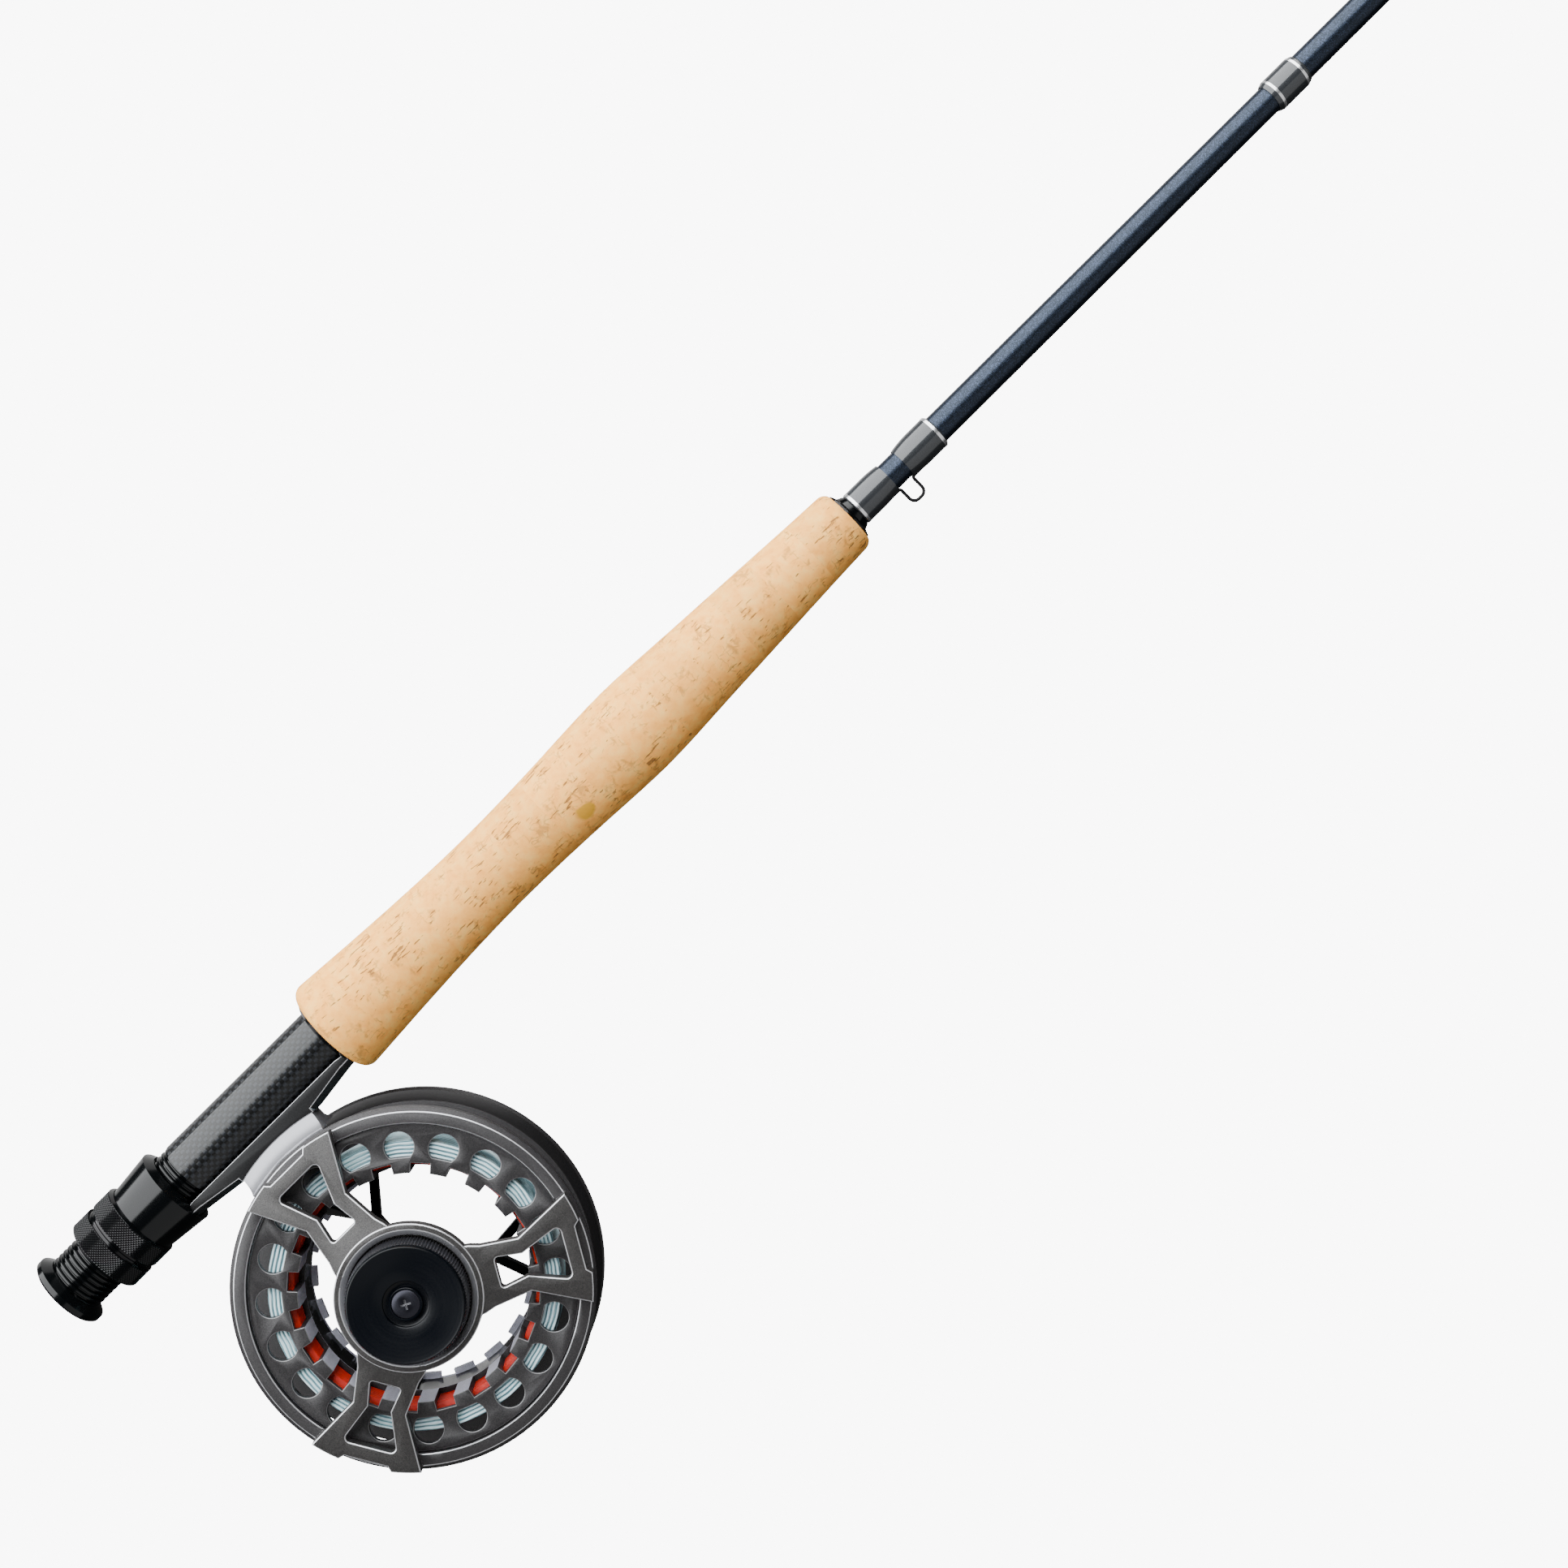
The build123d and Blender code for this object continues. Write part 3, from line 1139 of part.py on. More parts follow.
def rod_nodes():
    sections = [FERRULE_1, FERRULE_2, FERRULE_3]
    starts = [x + END_GAP for x in sections]
    snakes_2 = snakes_at(FERRULE_1, FERRULE_2, SNAKES_2)
    snakes_3 = snakes_at(FERRULE_2, FERRULE_3, SNAKES_3)
    snakes_tip = snakes_at(FERRULE_3, ROD_LENGTH, SNAKES_TIP)
    nodes = {
        "butt_cap": butt_cap(),
        "seat_barrel": seat_barrel(),
        "seat_arbor": seat_arbor(),
        "seat_insert": tube_x(INSERT_X0, INSERT_X1, INSERT_R, SLEEVE_R),
        "lock_ring_rear": lock_ring(RING_REAR_X0, RING_LENGTH - SEAT, False),
        "lock_ring_front": lock_ring(RING_FRONT_X0, RING_FRONT_LENGTH - SEAT, True),
        "sliding_hood": sliding_hood(),
        "fixed_hood": fixed_hood(),
        "cork_grip": cork_grip(),
        "winding_check": winding_check(),
        "hook_keeper": hook_keeper(KEEPER_WIRE_R),
        "check_wrap": keeper_wrap(CHECK_X1, KEEPER_X0),
        "keeper_wrap": keeper_wrap(KEEPER_X1, KEEPER_X1 + KEEPER_WRAP_LENGTH),
        "trim_wrap": sleeve(TRIM_WRAP_X0, TRIM_WRAP_X0 + TRIM_WRAP_LENGTH, 0.45, GLUE),
        "blank_butt": blank_section(BLANK_X0, FERRULE_1, False, True),
        "blank_section_2": blank_section(starts[0], FERRULE_2, True, True),
        "blank_section_3": blank_section(starts[1], FERRULE_3, True, True),
        "blank_tip": blank_section(starts[2], ROD_LENGTH, True, False),
        "butt_guide_wraps": section_wraps(BLANK_X0, FERRULE_1, [], [STRIPPER_1_X], False, True),
        "section_2_wraps": section_wraps(starts[0], FERRULE_2, snakes_2, [STRIPPER_2_X], True, True),
        "section_3_wraps": section_wraps(starts[1], FERRULE_3, snakes_3, [], True, True),
        "tip_wraps": section_wraps(starts[2], ROD_LENGTH, snakes_tip, [], True, False),
        "stripping_guide_1": stripper_frame(STRIPPER_1_X, STRIPPER_1_R),
        "stripping_ring_1": stripper_ring(STRIPPER_1_X, STRIPPER_1_R),
        "stripping_guide_2": stripper_frame(STRIPPER_2_X, STRIPPER_2_R),
        "stripping_ring_2": stripper_ring(STRIPPER_2_X, STRIPPER_2_R),
        "snake_guides_2": Compound(children=[snake_guide(x) for x in snakes_2]),
        "snake_guides_3": Compound(children=[snake_guide(x) for x in snakes_3]),
        "snake_guides_tip_a": Compound(children=[snake_guide(x) for x in snakes_tip[:3]]),
        "snake_guides_tip_b": Compound(children=[snake_guide(x) for x in snakes_tip[3:]]),
        "tip_top": tip_top(),
    }
    for number, x in enumerate(sections, start=1):
        nodes[f"spigot_{number}"] = spigot(x)
    return nodes


def reel_nodes():
    return {
        "reel_frame": reel_frame(),
        "reel_pedestal": reel_pedestal(),
        "reel_foot": reel_foot(),
        "foot_screws": foot_screws(),
        "drag_knob": drag_knob(),
        "knob_screw": knob_screw(),
        "axle": axle(),
        "drag_case": drag_case(),
        "drag_discs": drag_discs(),
        "drag_springs": drag_springs(),
        "spool": spool(),
        "spool_bearings": spool_bearings(),
        "clutch_bearing": clutch_bearing(),
        "spool_cap": spool_cap(),
        "handle_pin": handle_pin(),
        "handle_knob": handle_knob(),
        "counterweight": counterweight(),
        "backing": backing(),
        "fly_line": wound(BACKING_R + SEAT, LINE_R, LINE_CROWN),
    }


for name, shape in {**rod_nodes(), **reel_nodes()}.items():
    export_step(shape, f"parts/{name}.step")
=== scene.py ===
"""A four-piece fly rod and its large-arbor reel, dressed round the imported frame."""

import logging
import math
from collections.abc import Callable, Iterator, Sequence
from contextlib import contextmanager
from dataclasses import dataclass, field
from enum import Enum, IntEnum

import bpy
from mathutils import Matrix, Vector


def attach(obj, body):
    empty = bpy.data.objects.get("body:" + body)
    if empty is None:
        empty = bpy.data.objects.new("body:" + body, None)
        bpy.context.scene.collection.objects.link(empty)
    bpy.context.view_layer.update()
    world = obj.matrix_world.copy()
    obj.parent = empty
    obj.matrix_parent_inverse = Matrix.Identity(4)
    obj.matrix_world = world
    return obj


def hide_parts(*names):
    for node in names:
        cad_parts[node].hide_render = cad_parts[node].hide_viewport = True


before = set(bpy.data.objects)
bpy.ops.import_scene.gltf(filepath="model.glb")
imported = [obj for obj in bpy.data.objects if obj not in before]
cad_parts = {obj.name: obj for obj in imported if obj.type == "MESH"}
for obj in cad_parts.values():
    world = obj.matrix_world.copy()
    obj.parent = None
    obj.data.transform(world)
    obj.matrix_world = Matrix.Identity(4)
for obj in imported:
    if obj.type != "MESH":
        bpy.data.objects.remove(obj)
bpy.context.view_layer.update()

MM = 0.001
REEL = Vector((62.9, 0.0, -57.6)) * MM  # a point on the reel's axle
SAME_PLACE = 2e-6  # vertices closer than this are merged, in metres
LOG = logging.getLogger("rod_and_reel")

Point = tuple[float, float]
Piece = bpy.types.Object
Face = bpy.types.MeshPolygon
Material = bpy.types.Material
Socket = bpy.types.NodeSocket
Outputs = bpy.types.bpy_prop_collection


class Body(str, Enum):
    """Moving bodies of the frame that new pieces ride on."""

    BUTT = "butt"
    RING_REAR = "ring_rear"
    RING_FRONT = "ring_front"
    KNOB = "knob"
    SPOOL = "spool"


class Turning(Enum):
    """What a turned piece is turned about."""

    ROD = "rod"
    AXLE = "axle"


class Slot(IntEnum):
    """Material slots of the pieces that have more than one finish."""

    FACES = 0
    EDGES = 1  # of every bevelled copy: the finish of the broken edges, which paints their highlight
    KNOB_TEETH = 1
    SCREW_RECESS = 1
    FRAME_RING = 2
    FRAME_HUB = 3
    SPOOL_BORE = 2
    SPOOL_BACK = 3
    SPOOL_RIM = 4


# ---- mesh helpers
def deselect() -> None:
    """Leaves edit mode and deselects every object."""
    if bpy.context.object and bpy.context.object.mode != "OBJECT":
        bpy.ops.object.mode_set(mode="OBJECT")
    bpy.ops.object.select_all(action="DESELECT")


def activate(piece: Piece) -> None:
    """Makes one object the only selected and the active one."""
    deselect()
    piece.select_set(True)
    bpy.context.view_layer.objects.active = piece


@contextmanager
def editing(piece: Piece) -> Iterator[None]:
    """Keeps a piece in edit mode, with all of its mesh selected at first."""
    activate(piece)
    bpy.ops.object.mode_set(mode="EDIT")
    bpy.ops.mesh.select_all(action="SELECT")
    yield
    bpy.ops.object.mode_set(mode="OBJECT")


@contextmanager
def editing_some(piece: Piece, kind: str, chosen: Callable[[object], bool]) -> Iterator[None]:
    """Keeps a piece in edit mode, with what passes a test selected at first.

    Args:
        piece: the piece.
        kind: VERT or FACE, what is tested.
        chosen: the test.
    """
    with editing(piece):
        bpy.ops.mesh.select_mode(type=kind)
        bpy.ops.mesh.select_all(action="DESELECT")
    for item in piece.data.vertices if kind == "VERT" else piece.data.polygons:
        item.select = chosen(item)
    bpy.ops.object.mode_set(mode="EDIT")
    yield
    bpy.ops.object.mode_set(mode="OBJECT")


def at(turning: Turning, along: float, radius: float) -> Vector:
    """Place in metres of a point given in millimetres along an axis and out from it."""
    if turning is Turning.ROD:
        return Vector((along, 0.0, radius)) * MM
    return REEL + Vector((radius, along, 0.0)) * MM


def draw(name: str, points: Sequence[Vector]) -> Piece:
    """Draws a line of edges through points and leaves the new object in edit mode."""
    deselect()
    bpy.ops.mesh.primitive_plane_add(size=MM, location=(0, 0, 0))
    piece = bpy.context.object
    piece.name = piece.data.name = name
    bpy.ops.object.mode_set(mode="EDIT")
    bpy.ops.mesh.select_mode(type="VERT")
    bpy.ops.mesh.merge(type="CENTER")
    bpy.ops.transform.translate(value=points[0])
    for start, end in zip(points, points[1:]):
        bpy.ops.mesh.extrude_vertices_move(TRANSFORM_OT_translate={"value": end - start})
    bpy.ops.mesh.select_all(action="SELECT")
    return piece


def lathe(name: str, profile: Sequence[Point], turning: Turning, steps: int) -> Piece:
    """Turns a profile into a closed solid of revolution.

    Args:
        name: name of the new object.
        profile: (along, radius) points in millimetres; the last joins the first.
        turning: axis of the lathe.
        steps: faces round the axis.

    Returns:
        The new object, at the origin.
    """
    points = [at(turning, *point) for point in profile]
    piece = draw(name, [*points, points[0]])
    axis = (1, 0, 0) if turning is Turning.ROD else (0, 1, 0)
    centre = (0, 0, 0) if turning is Turning.ROD else REEL
    bpy.ops.mesh.spin(steps=steps, angle=math.tau, center=centre, axis=axis)
    bpy.ops.mesh.select_all(action="SELECT")
    bpy.ops.mesh.remove_doubles(threshold=SAME_PLACE)
    bpy.ops.mesh.normals_make_consistent(inside=False)
    bpy.ops.object.mode_set(mode="OBJECT")
    return piece


def reach(piece: Piece, face: Face) -> tuple[float, float, float, float]:
    """A face's least and greatest radius about the axle, and its least and greatest Y, in millimetres."""
    places = [(piece.data.vertices[i].co - REEL) / MM for i in face.vertices]
    radii = [math.hypot(co.x, co.z) for co in places]
    ys = [co.y for co in places]
    return min(radii), max(radii), min(ys), max(ys)


def smooth(piece: Piece, degrees: float = 32.0) -> None:
    """Shades a piece smooth, with sharp edges past an angle."""
    activate(piece)
    bpy.ops.object.shade_smooth_by_angle(angle=math.radians(degrees))


def finish(piece: Piece, *materials: Material) -> None:
    """Adds material slots to a piece."""
    for material in materials:
        piece.data.materials.append(material)


def apply_modifier(piece: Piece, kind: str, **settings: object) -> None:
    """Adds a modifier with its settings and applies it."""
    activate(piece)
    modifier = piece.modifiers.new(kind.lower(), kind)
    for key, value in settings.items():
        setattr(modifier, key, value)
    bpy.ops.object.modifier_apply(modifier=modifier.name)


def merged_copy(node: str, name: str) -> Piece:
    """A merged copy of a CAD node, with no material yet."""
    piece = bpy.data.objects.new(name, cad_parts[node].data.copy())
    bpy.context.scene.collection.objects.link(piece)
    piece.data.materials.clear()
    with editing(piece):
        bpy.ops.mesh.remove_doubles(threshold=SAME_PLACE)
    return piece


@dataclass(frozen=True)
class Chamfer:
    """A narrow chamfer along every outward edge of a piece's front faces."""

    width: float  # across the front, in millimetres
    depth: float  # how far its outer edge lies back
    is_front: Callable[[Face], bool]

    def cut(self, piece: Piece) -> None:
        """Insets the front faces, then moves the outer edge of each new strip back."""
        with editing_some(piece, "FACE", self.is_front):
            bpy.ops.mesh.inset(thickness=self.width * MM, use_even_offset=True, use_select_inset=True)
        mesh = piece.data
        owners: dict[tuple[int, int], list[Face]] = {}
        for face in mesh.polygons:
            for key in face.edge_keys:
                owners.setdefault(key, []).append(face)
        outward: set[int] = set()
        inward: set[int] = set()
        for key, faces in owners.items():
            strips = [face for face in faces if face.select]
            walls = [face for face in faces if not face.select and not self.is_front(face)]
            if len(strips) != 1 or len(walls) != 1:
                continue
            middle = (mesh.vertices[key[0]].co + mesh.vertices[key[1]].co) / 2
            if (walls[0].center - middle).dot(strips[0].normal) < 0:
                outward.update(key)
                # the strip takes the edge finish, which paints its highlight
                strips[0].material_index = Slot.EDGES
            else:
                inward.update(key)
        moved = outward - inward
        with editing_some(piece, "VERT", lambda vertex: vertex.index in moved):
            bpy.ops.transform.translate(value=(0, self.depth * MM, 0))


def bevelled_copy(
    node: str, name: str, width: float, materials: Sequence[Material], chamfer: Chamfer | None = None
) -> Piece:
    """A merged copy of a CAD node with its sharp edges broken, as a machinist does.

    Args:
        node: the CAD node to copy.
        name: name of the new object.
        width: width of the broken edge in millimetres.
        materials: finish of the faces, then finish of the broken edges, which paints their highlight.
        chamfer: chamfer to cut round the front faces first.

    Returns:
        The new object.
    """
    piece = merged_copy(node, name)
    finish(piece, *materials)
    if chamfer:
        chamfer.cut(piece)
    with editing(piece):
        bpy.ops.mesh.dissolve_limited(angle_limit=math.radians(0.6), delimit={"MATERIAL"})
    settings = {"limit_method": "ANGLE", "angle_limit": math.radians(38), "segments": 2, "width": width * MM}
    # the bevel's faces take the edge finish: a painted highlight along every broken edge
    apply_modifier(piece, "BEVEL", material=Slot.EDGES, use_clamp_overlap=True, **settings)
    smooth(piece)
    return piece


def place(piece: Piece, body: Body, nodes: Sequence[str] = ()) -> None:
    """Rides a piece on its body and says which CAD nodes it stands for."""
    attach(piece, body.value)
    if nodes:
        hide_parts(*nodes)
    LOG.info("%s rides on %s and stands for %s", piece.name, body.value, ", ".join(nodes) or "itself")


def dress(material: Material, *nodes: str) -> None:
    """Gives CAD nodes one finish."""
    for node in nodes:
        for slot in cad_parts[node].material_slots:
            slot.material = material
        LOG.info("%s is finished in %s", node, material.name)


# ---- finishes
def linear(code: str) -> tuple[float, float, float, float]:
    """Turns an sRGB hex colour into linear RGBA."""
    parts = [int(code[i : i + 2], 16) / 255 for i in (1, 3, 5)]
    r, g, b = (p / 12.92 if p <= 0.04045 else ((p + 0.055) / 1.055) ** 2.4 for p in parts)
    return r, g, b, 1.0


class Graph:
    """Nodes of one new material, with short ways to add them."""

    def __init__(self, name: str) -> None:
        """Makes the material."""
        self.material = bpy.data.materials.new(name)
        self.material.use_nodes = True
        self.tree = self.material.node_tree
        self.shader = self.tree.nodes["Principled BSDF"]

    def feed(self, entry: Socket, value: object) -> None:
        """Links an output to an input, or sets the input to a constant."""
        if isinstance(value, Socket):
            self.tree.links.new(value, entry)
        else:
            entry.default_value = value

    def surface(self, entry: str, value: object) -> None:
        """Feeds one input of the surface's shader."""
        self.feed(self.shader.inputs[entry], value)

    def add(self, kind: str, feeds: dict | None = None, **settings: object) -> Outputs:
        """Adds one node.

        Args:
            kind: node type, without its ShaderNode prefix.
            feeds: input name or number to a value, or to the output that feeds it.
            settings: properties of the node.

        Returns:
            The node's outputs.
        """
        node = self.tree.nodes.new("ShaderNode" + kind)
        for key, value in settings.items():
            setattr(node, key, value)
        for key, value in (feeds or {}).items():
            self.feed(node.inputs[key], value)
        return node.outputs

    def maths(self, operation: str, *values: object) -> Socket:
        """Reckons with numbers."""
        return self.add("Math", dict(enumerate(values)), operation=operation)[0]

    def vectors(self, operation: str, *values: object) -> Socket:
        """Reckons with vectors."""
        return self.add("VectorMath", dict(enumerate(values)), operation=operation)[0]

    def scaled(self, vector: object, factor: object) -> Socket:
        """Multiplies a vector or a colour by a number."""
        return self.add("VectorMath", {0: vector, "Scale": factor}, operation="SCALE")[0]

    def length(self, vector: Socket) -> Socket:
        """Length of a vector."""
        return self.add("VectorMath", {0: vector}, operation="LENGTH")["Value"]

    def parts(self, vector: Socket) -> Outputs:
        """X, Y and Z of a vector."""
        return self.add("SeparateXYZ", {0: vector})

    def joined(self, **parts: Socket) -> Socket:
        """A vector of the parts given by letter; the others are nought."""
        return self.add("CombineXYZ", parts)[0]

    def spread(self, value: Socket, low: float, high: float, start: float = 0.0, end: float = 1.0) -> Socket:
        """Maps start to end onto low to high, and holds beyond them."""
        return self.add("MapRange", {0: value, 1: start, 2: end, 3: low, 4: high})[0]

    def noise(self, vector: Socket, scale: float, detail: float = 2.0, roughness: float = 0.5) -> Socket:
        """Cloudy noise from 0 to 1."""
        return self.add("TexNoise", {"Vector": vector, "Scale": scale, "Detail": detail, "Roughness": roughness})[0]

    def blend(self, share: Socket, first: object, second: str) -> Socket:
        """Blends a colour into another, given by its code."""
        return self.add("Mix", {"Factor": share, 6: first, 7: linear(second)}, data_type="RGBA")[2]

    def ramp(self, value: Socket, *stops: tuple[float, str]) -> Socket:
        """Turns a number into a colour by (position, colour) stops."""
        colour = self.add("ValToRGB", {0: value})[0]
        elements = colour.node.color_ramp.elements
        for index, (position, code) in enumerate(stops):
            element = elements[index] if index < 2 else elements.new(position)
            element.position = position
            element.color = linear(code)
        return colour

    def bump(self, height: Socket, depth: float) -> None:
        """Raises the surface by a height of 0 to 1 times a depth in millimetres."""
        raised = self.add("Bump", {"Height": height, "Strength": 1.0, "Distance": depth * MM})
        self.surface("Normal", raised["Normal"])

    def about(self, turning: Turning, here: Socket) -> tuple[Socket, Socket, Socket]:
        """Place about an axis: distance along it, arm out from it, and length of the arm."""
        if turning is Turning.ROD:
            parts = self.parts(here)
            arm = self.joined(Y=parts["Y"], Z=parts["Z"])
            return parts["X"], arm, self.length(arm)
        parts = self.parts(self.vectors("ADD", here, tuple(REEL / -MM)))
        arm = self.joined(X=parts["X"], Z=parts["Z"])
        return parts["Y"], arm, self.length(arm)


@dataclass(frozen=True)
class Finish:
    """One surface finish with what all share; a subclass draws its pattern."""

    name: str
    colour: str
    metallic: float = 0.0
    roughness: float = 0.4
    coat: float = 0.0
    coat_roughness: float = 0.04
    gloss: float = 0.5  # strength of the surface's own reflection

    def build(self) -> Material:
        """Makes the material."""
        graph = Graph(self.name)
        plain = {"Base Color": linear(self.colour), "Metallic": self.metallic, "Roughness": self.roughness}
        plain |= {"Specular IOR Level": self.gloss, "Coat Weight": self.coat, "Coat Roughness": self.coat_roughness}
        for entry, value in plain.items():
            graph.surface(entry, value)
        self.pattern(graph, graph.scaled(graph.add("TexCoord")["Object"], 1 / MM))
        return graph.material

    def pattern(self, graph: Graph, here: Socket) -> None:
        """Draws what the bare finish shows, from the place on the object in millimetres."""


@dataclass(frozen=True)
class BlastedMetal(Finish):
    """Aluminium, bead-blasted and anodised: an even satin with a fine speckle."""

    light: str = "#6a6a6c"
    grain: float = 0.24  # of the blasting, drawn twice as coarse to show
    relief: float = 0.012

    def pattern(self, graph: Graph, here: Socket) -> None:
        """Speckles the colour and roughens the surface."""
        speck = graph.noise(here, 1 / self.grain, 2.0, 0.7)
        cloud = graph.maths("MULTIPLY", graph.noise(here, 0.12, 1.0), 0.1)
        amount = graph.maths("MULTIPLY_ADD", speck, 0.9, cloud)
        graph.surface("Base Color", graph.ramp(amount, (0.28, self.colour), (0.72, self.light)))
        graph.bump(speck, self.relief)


@dataclass(frozen=True)
class TurnedMetal(Finish):
    """Metal turned on a lathe: faint tool marks run round the piece's axis."""

    turning: Turning = Turning.ROD
    pitch: float = 0.35  # between tool marks, drawn coarser than the real 0.1
    relief: float = 0.004

    def pattern(self, graph: Graph, here: Socket) -> None:
        """Draws the tool marks as bands of noise along the axis and the radius."""
        along, arm, radius = graph.about(self.turning, here)
        if self.turning is Turning.AXLE:
            round_way = graph.vectors("CROSS_PRODUCT", (0.0, 1.0, 0.0), arm)
            spaces = {"vector_type": "VECTOR", "convert_from": "OBJECT", "convert_to": "WORLD"}
            graph.surface("Tangent", graph.add("VectorTransform", {0: round_way}, **spaces)[0])
            graph.surface("Anisotropic", 0.7)
        feeds = {"Vector": graph.joined(X=along, Y=radius), "Scale": 1 / self.pitch, "Detail": 2.0}
        marks = graph.add("TexNoise", feeds, noise_dimensions="2D")[0]
        graph.surface("Roughness", graph.spread(marks, self.roughness * 0.8, self.roughness * 1.2))
        graph.bump(marks, self.relief)


@dataclass(frozen=True)
class Cork(Finish):
    """Natural cork, sanded: pale tan rings with lenticels, pits and filler."""

    ring: float = 12.7  # a half-inch cork ring
    dark: str = "#7d5730"
    lines: float = 0.5  # strength of the growth lines
    spot: tuple[float, float, float] = (172.2, -11.0, -6.0)  # a yellow oval of filler

    def pattern(self, graph: Graph, here: Socket) -> None:
        """Layers ring tone, mottling, growth lines, pits and filler."""
        number = graph.maths("FLOOR", graph.maths("DIVIDE", graph.parts(here)["X"], self.ring))
        chance = graph.add("TexWhiteNoise", {"W": number}, noise_dimensions="1D")
        own = graph.vectors("ADD", here, graph.scaled(chance["Color"], 400.0))  # each ring is cut from its own cork
        mottle = graph.noise(own, 0.35, 5.0, 0.62)
        tone = graph.ramp(mottle, (0.30, "#f0a047"), (0.50, self.colour), (0.72, "#ffc469"))
        tone = graph.scaled(tone, graph.spread(chance["Value"], 0.93, 1.05))
        sway = graph.add("TexNoise", {"Vector": own, "Scale": 0.35, "Detail": 2.0})["Color"]
        tone = graph.blend(self.growth(graph, own, sway), tone, "#8f6030")
        dots = graph.ramp(graph.noise(own, 2.6, 2.0, 0.8), (0.66, "#000000"), (0.76, "#9a9a9a"))
        tone = graph.blend(dots, tone, "#a0713f")
        pits = self.pits(graph, own)
        tone = graph.blend(pits, tone, self.dark)
        graph.surface("Base Color", graph.blend(self.filler(graph, here, sway), tone, "#c8921f"))
        graph.bump(graph.maths("MULTIPLY_ADD", pits, -1.0, graph.maths("MULTIPLY", dots, -0.3)), 0.25)

    def growth(self, graph: Graph, own: Socket, sway: Socket) -> Socket:
        """Growth lines and fine cracks: thin, wavy, and broken off where the cloud is low."""
        swayed = graph.vectors("ADD", graph.scaled(sway, 2.6), own)
        cloud = graph.noise(own, 0.22, 3.0, 0.7)
        sets = []
        for stretch, scale, least in (((1.0, 0.10, 0.10), 0.40, 0.52), ((0.14, 1.0, 1.0), 0.6, 0.50)):
            pulled = graph.vectors("MULTIPLY", swayed, stretch)
            edge = graph.add("TexVoronoi", {"Vector": pulled, "Scale": scale}, feature="DISTANCE_TO_EDGE")[0]
            shown = graph.spread(cloud, 0.0, self.lines, least, least + 0.1)
            sets.append(graph.maths("MULTIPLY", graph.spread(edge, 1.0, 0.0, 0.015, 0.06), shown))
        return graph.maths("MAXIMUM", *sets)

    def pits(self, graph: Graph, own: Socket) -> Socket:
        """Pits: short dashes along the rod, denser in some places."""
        thin = graph.vectors("MULTIPLY", own, (0.16, 1.0, 1.0))
        denser = graph.spread(graph.noise(own, 0.11, 1.0), -0.09, 0.1, 0.35, 0.7)
        pits = graph.maths("ADD", graph.noise(thin, 1.7, 2.0, 0.6), denser)
        return graph.ramp(pits, (0.665, "#000000"), (0.70, "#e8e8e8"))

    def filler(self, graph: Graph, here: Socket, sway: Socket) -> Socket:
        """An oval of filler with a wavy edge."""
        middle = tuple(-value - 1.0 for value in self.spot)
        off = graph.vectors("ADD", graph.vectors("ADD", here, graph.scaled(sway, 2.0)), middle)
        off = graph.vectors("MULTIPLY", off, (0.36, 0.2, 0.45))
        return graph.spread(graph.length(off), 0.85, 0.0, 0.8, 1.05)


@dataclass(frozen=True)
class Carbon(Finish):
    """Carbon cloth in a plain weave under clear lacquer, with the weave's sheen and shade painted into its colour."""

    tows: int = 48  # round the tube, a whole number of repeats
    radius: float = 7.9

    def pattern(self, graph: Graph, here: Socket) -> None:
        """Weaves tows along and round the tube, painting each direction its own sheen and shade between the tows."""
        parts = graph.parts(here)
        angle = graph.maths("ARCTAN2", parts["Y"], parts["Z"])
        across = graph.maths("MULTIPLY", angle, self.tows / math.tau)
        along = graph.maths("MULTIPLY", parts["X"], self.tows / (math.tau * self.radius))
        cell = graph.maths("ADD", graph.maths("FLOOR", along), graph.maths("FLOOR", across))
        lengthwise = graph.maths("LESS_THAN", graph.maths("FLOORED_MODULO", cell, 2.0), 0.5)
        sides = {2: graph.maths("FRACT", along), 3: graph.maths("FRACT", across)}
        side = graph.add("Mix", {"Factor": lengthwise, **sides})[0]
        crown = graph.maths("SINE", graph.maths("MULTIPLY", side, math.pi))
        # painted sheen: tows along the tube are near black and tows round it lighter, as their fibres catch the light
        # differently
        tone = graph.blend(lengthwise, linear("#030303"), self.colour)
        # painted shade and sheen: each tow is lighter along its crown and darker at its edges
        level = graph.spread(graph.maths("MULTIPLY", graph.noise(here, 6.0), crown), 0.35, 1.9)
        graph.surface("Base Color", graph.scaled(tone, level))
        graph.bump(crown, 0.05)


@dataclass(frozen=True)
class Blank(Finish):
    """Carbon blank in tinted varnish: navy with a violet-blue glitter in the light."""

    def pattern(self, graph: Graph, here: Socket) -> None:
        """Scatters fine flakes that catch the light."""
        flakes = graph.add("TexVoronoi", {"Vector": here, "Scale": 5.5}, feature="F1")["Color"]
        graph.surface("Base Color", graph.ramp(flakes, (0.2, self.colour), (0.6, "#2a313c"), (0.9, "#3b455a")))
        graph.bump(graph.noise(here, 1.2), 0.008)


@dataclass(frozen=True)
class Thread(Finish):
    """Winding thread under varnish: fine turns that show through a glossy coat, with painted shade between them."""

    pitch: float = 0.3  # between turns, drawn twice as coarse

    def pattern(self, graph: Graph, here: Socket) -> None:
        """Lays the turns side by side along the rod, lighter on each crest and darker between turns: painted sheen and
        shade.
        """
        turns = graph.maths("SINE", graph.maths("MULTIPLY", graph.parts(here)["X"], math.tau / self.pitch))
        # painted shade and sheen: the colour follows the turns and is darker in the grooves; the noise is the thread's
        # own uneven tone
        level = graph.maths("MULTIPLY_ADD", turns, 0.14, graph.spread(graph.noise(here, 3.0), 0.8, 1.15))
        graph.surface("Base Color", graph.scaled(linear(self.colour)[:3], level))
        graph.bump(turns, 0.012)


